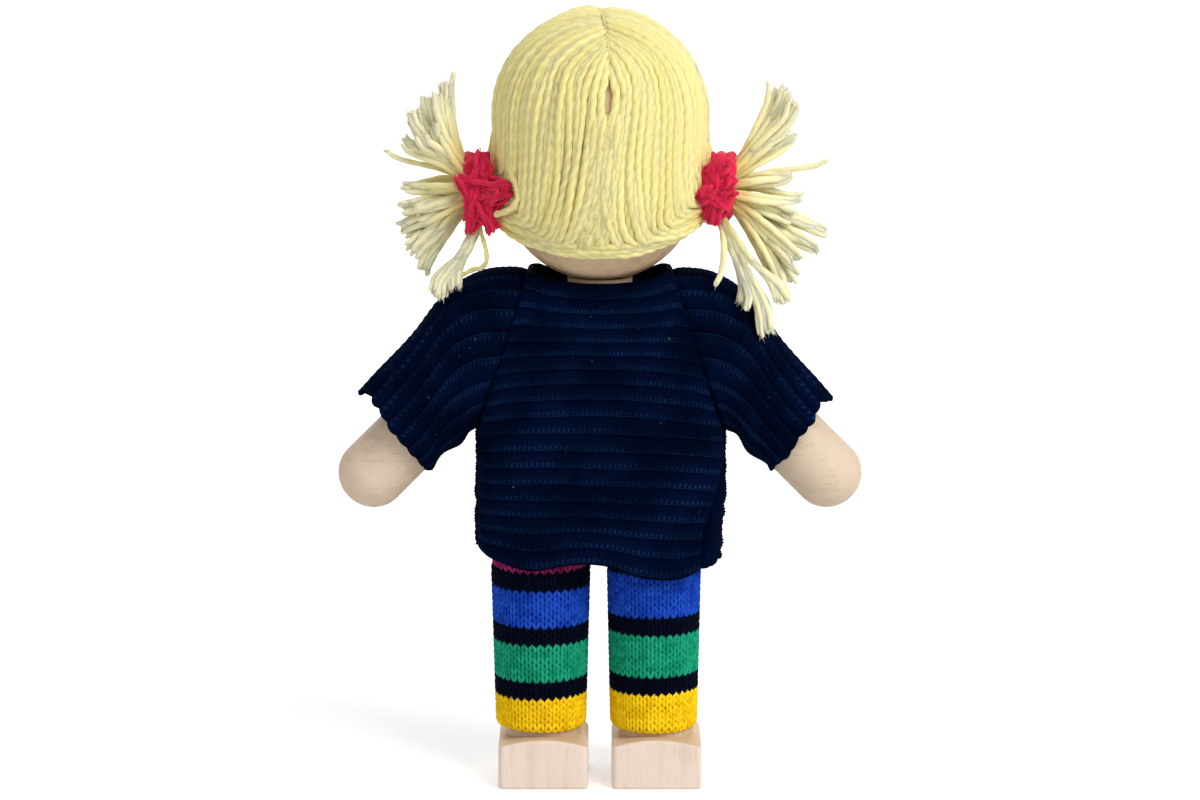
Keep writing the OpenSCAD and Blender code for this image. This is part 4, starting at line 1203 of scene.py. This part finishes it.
def hemmed(outer, normal, flat, step, low=0, high=0):
    """Cloth with hems: the outer grid, and at its lower and upper end a strip so many rows deep
    that is folded in behind it by the thickness of the knit and goes back in coarse steps."""
    points, flats = [outer], [flat]
    if low:
        back = np.arange(0, low, step)
        fold = outer[0] + unit(outer[0] - outer[2]) * KNIT_T * 0.35 - normal[0] * KNIT_T / 2
        behind = outer[back] - normal[back] * KNIT_T
        points = [behind[::-1], fold[None]] + points
        flats = [flat[back][::-1], flat[:1]] + flats
    if high:
        back = len(outer) - 1 - np.arange(0, high, step)
        fold = outer[-1] + unit(outer[-1] - outer[-3]) * KNIT_T * 0.35 - normal[-1] * KNIT_T / 2
        behind = outer[back] - normal[back] * KNIT_T
        points += [fold[None], behind]
        flats += [flat[-1:], flat[back]]
    return np.concatenate(points), np.concatenate(flats)


def soft_folds(points, side):
    """Shallow folds of the hanging cloth, in millimetres outwards: low upright ones near the hem
    and slanting ones from the underarms."""
    x, z = points[..., 0], points[..., 2]
    hang = 0.2 * np.sin(x * 0.42 + side * 1.3 + 0.02 * z) + 0.16 * np.sin(x * 0.19 - 0.9 * side)
    slant = 0.35 * np.sin(np.abs(x) * 0.55 + z * 0.32) * np.exp(-((z - 66) / 9) ** 2)
    return hang * eased(z, 74, 48) + slant * eased(np.abs(x), 8, 20)


PANEL_COLUMNS = 301
RIB_ROWS = 14
PANEL_HEM_ROWS = 20
SLEEVE_HEM_ROWS = 24
panel_s, panel_width = section_steps(PANEL_COLUMNS)
panel_run = np.linspace(-panel_width / 2, panel_width / 2, PANEL_COLUMNS)


def make_panel(name, side, first_rib, last_rib, columns, node):
    """A panel, or a part of one. The relief fades into a soft groove where it meets a sleeve."""
    s, run = panel_s[columns][None, :], panel_run[columns][None, :]
    rib = np.linspace(first_rib, last_rib, (last_rib - first_rib) * RIB_ROWS + 1)[:, None]
    wander = 0.03 * np.sin(run * 0.31 + 2 * side) * np.sin(rib * 0.7 + 1) * np.sin(math.pi * rib / BODY_RIBS)
    base = body_point(s + 0 * rib, rib + wander, side)
    z = base[..., 2]
    normal = grid_normals(base) * -side
    edge = np.minimum(run - panel_run[0], panel_run[-1] - run)
    groove = 0.5 * np.exp(-(edge / 1.1) ** 2) * eased(z, UNDERARM_Z - 2, UNDERARM_Z + 4)
    closing = eased(edge, 0, 0.8)
    # Beside the seam at its right the back has a turned-in edge that widens towards the hem, with
    # a groove next to it
    widening = eased(z, FLAP_TOP_Z, BLEND_LOW_Z)
    flap_edge = 0.135 * widening
    turned_in = 0.35 * np.exp(-((1 + s - 0.05 * widening) / 0.05) ** 2)
    turned_in = turned_in - 0.9 * np.exp(-((1 + s - flap_edge) / 0.022) ** 2)
    turned_in = turned_in * (side > 0) * eased(z, FLAP_TOP_Z, FLAP_TOP_Z - 7)
    # The turned-in edge has no ribs, only uneven stitches
    flap = (side > 0) & (1 + s < flap_edge)
    uneven = 0.14 * np.sin(run * 2.9 + z * 1.7) * np.sin(z * 4.3)
    relief = rib_relief(rib + 0 * run, run + 0 * rib) * closing
    relief = np.where(flap, uneven, relief) - groove + turned_in
    relief = relief + soft_folds(base, side) * eased(edge, 0, 5)
    outer = base + normal * relief[..., None]
    flat = stacked(run + 0 * rib, np.where(flap, 0.85, rib + 0 * run))
    points, flats = hemmed(outer, normal, flat, step=6, low=PANEL_HEM_ROWS if first_rib == 0 else 0,
                           high=PANEL_HEM_ROWS if last_rib == BODY_RIBS else 0)
    piece = make_piece(name, points, cloth_faces(points, side > 0), navy_rib, cloth=flats)
    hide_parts(node)
    return piece


def follow_leg(piece, leg, top_z, low_z, middle_w=9, behind=1.0):
    """The cloth follows its leg below the hips, but not in the middle between the legs, and at the
    back only by the share behind."""
    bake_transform(piece, "torso", leg, start=(0, 0, top_z * MM), end=(0, 0, low_z * MM))
    weights = piece.data.attributes["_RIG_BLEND"].data
    share = np.zeros(len(weights), np.float32)
    weights.foreach_get("value", share)
    place = np.zeros(len(weights) * 3, np.float32)
    piece.data.vertices.foreach_get("co", place)
    share *= eased(np.abs(place[::3]), 0, middle_w * MM)
    share *= 1 - (1 - behind) * eased(place[1::3], 0, BODY_HALF_D * MM)
    weights.foreach_set("value", share.astype(np.float32))


middle_column = PANEL_COLUMNS // 2
for panel, side in (("front", -1), ("back", 1)):
    upper = make_panel("sweater_" + panel + "_top", side, SPLIT_RIB, BODY_RIBS, slice(None),
                       "sweater_" + panel)
    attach(upper, "torso")
    for side_name, columns in (("left", slice(middle_column, None)), ("right", slice(0, middle_column + 1))):
        lower = make_panel("sweater_" + panel + "_" + side_name + "_hem", side, 0, SPLIT_RIB, columns,
                           "sweater_" + panel)
        follow_leg(lower, side_name + "_leg", BLEND_TOP_Z, BLEND_LOW_Z, middle_w=14, behind=0.5)


def sleeve_base(side_name, t, angle):
    """Ring of the sleeve at share t of its length: an ellipse between a lower and an upper line."""
    cuff_low = np.array(CUFF_LOW)
    hole_low = np.array([BODY_HALF_W, UNDERARM_Z])
    knots = np.array([(COLLAR_HALF_W, COLLAR_Z + 0.2)] + list(SHOULDER_LINE[side_name]))
    line = through(knots[None], SLEEVE_LINE_POINTS)[0]
    line = np.concatenate([line, line[-1] + (line[-1] - line[-2]) * np.arange(1, 60)[:, None]])
    at = t * (SLEEVE_LINE_POINTS - 1)
    high = np.stack([np.interp(at, np.arange(len(line)), line[:, k]) for k in (0, 1)], axis=-1)
    t = t[..., None]
    low = hole_low * (1 - t) + cuff_low * t + np.array([0.2, 0.6]) * 4 * t * (1 - t)
    mid, half = (low + high) / 2, (high - low) / 2
    deep = ARMHOLE_HALF_D + (CUFF_HALF_D - ARMHOLE_HALF_D) * t[..., 0]
    c, s = np.cos(angle), np.sin(angle)
    return stacked(mid[..., 0] + half[..., 0] * c, deep * s, mid[..., 1] + half[..., 1] * c)


SLEEVE_COLUMNS = SLEEVE_RIBS * RIB_ROWS + 1
SLEEVE_ROWS = 130
for side_name, side in SIDES.items():
    # The ring starts and ends at the underside, where the sleeve's own seam is
    around = steps(SLEEVE_COLUMNS)[None, :]
    angle = math.pi + 2 * math.pi * around
    t = np.linspace(-0.05, 1, SLEEVE_ROWS)[:, None]
    ragged = waves(700 + side, 6, 20, 60, 0.03)(around)
    ragged = ragged + 0.012 * np.abs(np.sin(math.pi * around * SLEEVE_RIBS))
    corner = 0.025 * np.exp(-((np.cos(angle) - 1) / 0.08) ** 2)
    along = t * (1 + (ragged + corner) * eased(t, 0.75, 1))
    base = sleeve_base(side_name, along + 0 * around, angle + 0 * t)
    normal = -grid_normals(base)
    rib = around * SLEEVE_RIBS + 0.1 * np.sin(t * 5 + around * 9)
    run = along * SLEEVE_L
    edge = np.minimum(around, 1 - around) * SLEEVE_ROUND
    groove = 0.5 * np.exp(-(t * SLEEVE_L / 1.1) ** 2) * eased(edge, 0, 6)
    folds = (0.5 * np.sin(t * 9 + np.cos(angle) * 3 + side) * eased(t, 0.05, 0.3)
             * eased(-np.cos(angle), -0.2, 0.9) + 0.25 * np.sin(around * 19 + t * 4) * eased(t, 0.1, 0.5))
    relief = rib_relief(rib, run + 0 * around) * eased(t * SLEEVE_L, 0, 0.8) * eased(edge, 0, 0.7)
    relief = relief - groove + folds * (1 - eased(t, 0.9, 1) * 0.6)
    outer = base + normal * relief[..., None]
    flat = stacked(run + 0 * around, rib + 0 * t)
    points, flats = hemmed(outer, normal, flat, step=5, high=SLEEVE_HEM_ROWS)
    points[..., 0] *= side
    sleeve = make_piece(side_name + "_ribbed_sleeve", points, cloth_faces(points, side > 0), navy_rib,
                        cloth=flats, weld=True)
    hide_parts(side_name + "_sleeve")
    # From the raglan seam on, square to it, the sleeve soon follows its arm
    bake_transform(sleeve, "torso", side_name + "_arm", start=(side * 17.9 * MM, 0, 82.25 * MM),
             end=(side * 20.96 * MM, 0, 83.21 * MM))

# The side seams are bound with thread, as a ragged cord of small loops
for side_name, side in SIDES.items():
    s = steps(170)
    low_z, high_z = SEAM_LOW_Z[side_name], UNDERARM_Z + 0.2
    z = low_z + (high_z - low_z) * s
    x = HEM_HALF_W - 0.3 * s + waves(820 + side, 4, 8, 40, 0.2)(s) + (0.3 - right_tuck(z) if side < 0 else 0)
    y = SEAM_Y[side_name] + waves(830 + side, 4, 8, 40, 0.5)(s)
    core = stacked(side * x, y, z)[None]
    loops = s * (high_z - low_z) * 2 * math.pi / 1.1
    wound = core + stacked(side * 0.42 * np.cos(loops), 0.6 * np.sin(loops), 0 * s)[None]
    rough = np.clip(waves(840 + side, 8, 18, 40, 2.2)(s), -1.1, 1.1)
    lumps = 0.8 * eased(s, 0.45, 0.25) if side < 0 else 0
    core_r = SEAM_R + (0.15 + lumps) * np.abs(rough)
    core_part = yarns(core, np.array([0, 1.0, 0]), core_r, sides=9, turn=1.2, seed=9)
    wound_part = yarns(through(wound, 500), np.array([0, 0.3, 1.0]), 0.26, sides=6, turn=1.5, seed=10)
    points, faces, marks = joined([core_part, wound_part])
    seam = make_piece(side_name + "_bound_seam", points, faces, navy_yarn, marks=marks)
    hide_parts(side_name + "_side_seam")
    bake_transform(seam, "torso", side_name + "_leg", start=(0, 0, BLEND_TOP_Z * MM), end=(0, 0, BLEND_LOW_Z * MM))


# Leggings

LEFT_STRIPES = (("yellow", 5), ("black", 3), ("green", 6), ("black", 3), ("blue", 6), ("black", 3),
                ("magenta", 2))
RIGHT_STRIPES = (("yellow", 6), ("black", 3), ("green", 7), ("black", 3), ("blue", 7), ("black", 3))
STRIPE_NAMES = list(STRIPE_COLOURS)


def stripe_list(stripes):
    """The colour number of every course from the hem up."""
    return np.repeat([STRIPE_NAMES.index(n) for n, _ in stripes], [k for _, k in stripes])


def knit_courses(side_name, side, colours, seed):
    """Courses of loops round the leg. Along a loop, with u its share of a turn, the yarn steps one
    wale sideways and 0.2 wale to and fro twice, rises and falls once, and comes out to the front
    where its two legs are. The tube hangs a little off the middle of the leg."""
    draw = np.random.default_rng(seed)
    count = len(colours)
    rings = WALES * LOOP_RINGS
    u = (np.arange(rings) / LOOP_RINGS)[None, :]
    w = 2 * math.pi
    angle = w * (u + 0.2 * np.sin(2 * w * u)) / WALES
    ankle_r, thigh_r = ANKLE_R[side_name], THIGH_R[side_name]
    share = (np.arange(count)[:, None] + 0.5) / count
    z_mid = HEM_LEG_Z[side_name] + COURSE_H[side_name] * count * share + 0.35
    half_high = 0.92 + 0.036 * draw.normal(0, 1, (count, 1))
    z = z_mid - half_high * np.cos(w * u) + 0.12 * np.sin(angle * 2 + draw.uniform(0, 6, (count, 1)))
    middle_r = ankle_r + (thigh_r - ankle_r) * share - LOOP_DEPTH - LOOP_R
    r = middle_r - 0.7 * eased(z_mid, 40, 43.4) - LOOP_DEPTH * np.cos(2 * w * u)
    jitter = draw.normal(0, 0.02, (count, rings))
    turn = angle + jitter / 8
    paths = stacked(side * STANCE + HANG_X + r * np.sin(turn), r * np.cos(turn), z)
    level = stacked(np.sin(turn), np.cos(turn), 0 * turn)
    return paths, level


def loop_tubes(paths, level, colours, sides, seed):
    """Closed tubes along the courses, with the colour number of each face."""
    count, rings, _ = paths.shape
    way = unit(np.roll(paths, -1, axis=1) - np.roll(paths, 1, axis=1))
    angle = round_turn(sides)[None, None]
    run = run_along(paths)[..., None]
    thick = LOOP_R * 1.08 * (1 - 0.14 * np.sin(angle - run * 2.2) ** 2)
    points = tube_points(paths, way, level, thick, angle)
    colour = np.repeat(colours, rings * sides)
    draw = np.random.default_rng(seed)
    tone = np.repeat(draw.uniform(0, 1, (count, WALES)), rings // WALES * sides, axis=1)
    apart = 40 * np.arange(count)[:, None, None]
    fibre = stacked(np.cos(angle - run), np.sin(angle - run), run * 0.5 + apart)
    marks = {"fibre": fibre.reshape(-1, 3), "tone": tone.ravel()}
    return points.reshape(-1, 3), tube_faces(count, rings, sides, loop=True), colour, marks


for side_name, side in SIDES.items():
    colours = stripe_list(LEFT_STRIPES if side > 0 else RIGHT_STRIPES)
    paths, level = knit_courses(side_name, side, colours, 70 + side)
    points, faces, colour, marks = loop_tubes(paths, level, colours, 6, 75 + side)
    yarn_set = [stripe_yarn[n] for n in STRIPE_NAMES]
    loops = make_piece(side_name + "_knit_loops", points, faces.tolist(), yarn_set, marks=marks)
    loops.data.polygons.foreach_set("material_index", colour.astype(np.int32))
    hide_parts(side_name + "_legging")
    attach(loops, side_name + "_leg")
    # The cloth behind the loops, in the colour of the course in front of it
    row = np.arange(len(colours) + 1)[:, None]
    turn = np.arange(GROUND_COLUMNS + 1) * 2 * math.pi / GROUND_COLUMNS
    widening = (THIGH_R[side_name] - ANKLE_R[side_name]) * 0.6
    liner_r = ANKLE_R[side_name] - 0.9 + widening * row / len(colours)
    liner_z = HEM_LEG_Z[side_name] + 0.4 + COURSE_H[side_name] * row * 0.988
    points = stacked(side * STANCE + HANG_X * 0.6 + liner_r * np.sin(turn), liner_r * np.cos(turn),
                     liner_z + 0 * turn)
    marks = {"fibre": points.reshape(-1, 3), "tone": np.zeros(points[..., 0].size)}
    liner = make_piece(side_name + "_knit_ground", points, cloth_faces(points, True), yarn_set, marks=marks)
    liner.data.polygons.foreach_set("material_index", np.repeat(colours, GROUND_COLUMNS).astype(np.int32))
    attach(liner, side_name + "_leg")


def seat_section(share):
    """Round the seat: a box with round corners, walked evenly from the middle of the back."""
    y, x = rounded_box(2 * math.pi, SEAT_POWER)
    x, y = x * (SEAT_HALF_W - SEAT_IN), y * (SEAT_HALF_D - SEAT_IN)
    run = run_of(x, y)
    at = share * run[-1]
    return np.interp(at, run, x), np.interp(at, run, y), run[-1]


for side_name, side in SIDES.items():
    share = 0.5 * steps(101)
    x, y, seat_run = seat_section(share)
    z = np.linspace(SEAT_LOW_Z, SEAT_HIGH_Z, 30)[:, None]
    ripple = 0.18 * np.sin(z * 5) + 0.15 * np.sin(x[None, :] * 1.1 + z * 0.4)
    base = stacked(side * x[None, :] + 0 * z, y[None, :] + 0 * z, z + 0 * x)
    normal = unit(stacked(side * x[None, :] / SEAT_HALF_W ** 2, y[None, :] / SEAT_HALF_D ** 2, 0) + 0 * base)
    outer = base + normal * ripple[..., None]
    points, flats = hemmed(outer, normal, stacked(x[None, :] + 0 * z, z + 0 * x), step=2, low=6)
    seat = make_piece(side_name + "_seat_knit", points, cloth_faces(points, side < 0), navy_seat, cloth=flats)
    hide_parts("leggings_seat")
    follow_leg(seat, side_name + "_leg", SEAT_BLEND_TOP_Z, BLEND_LOW_Z, middle_w=4)
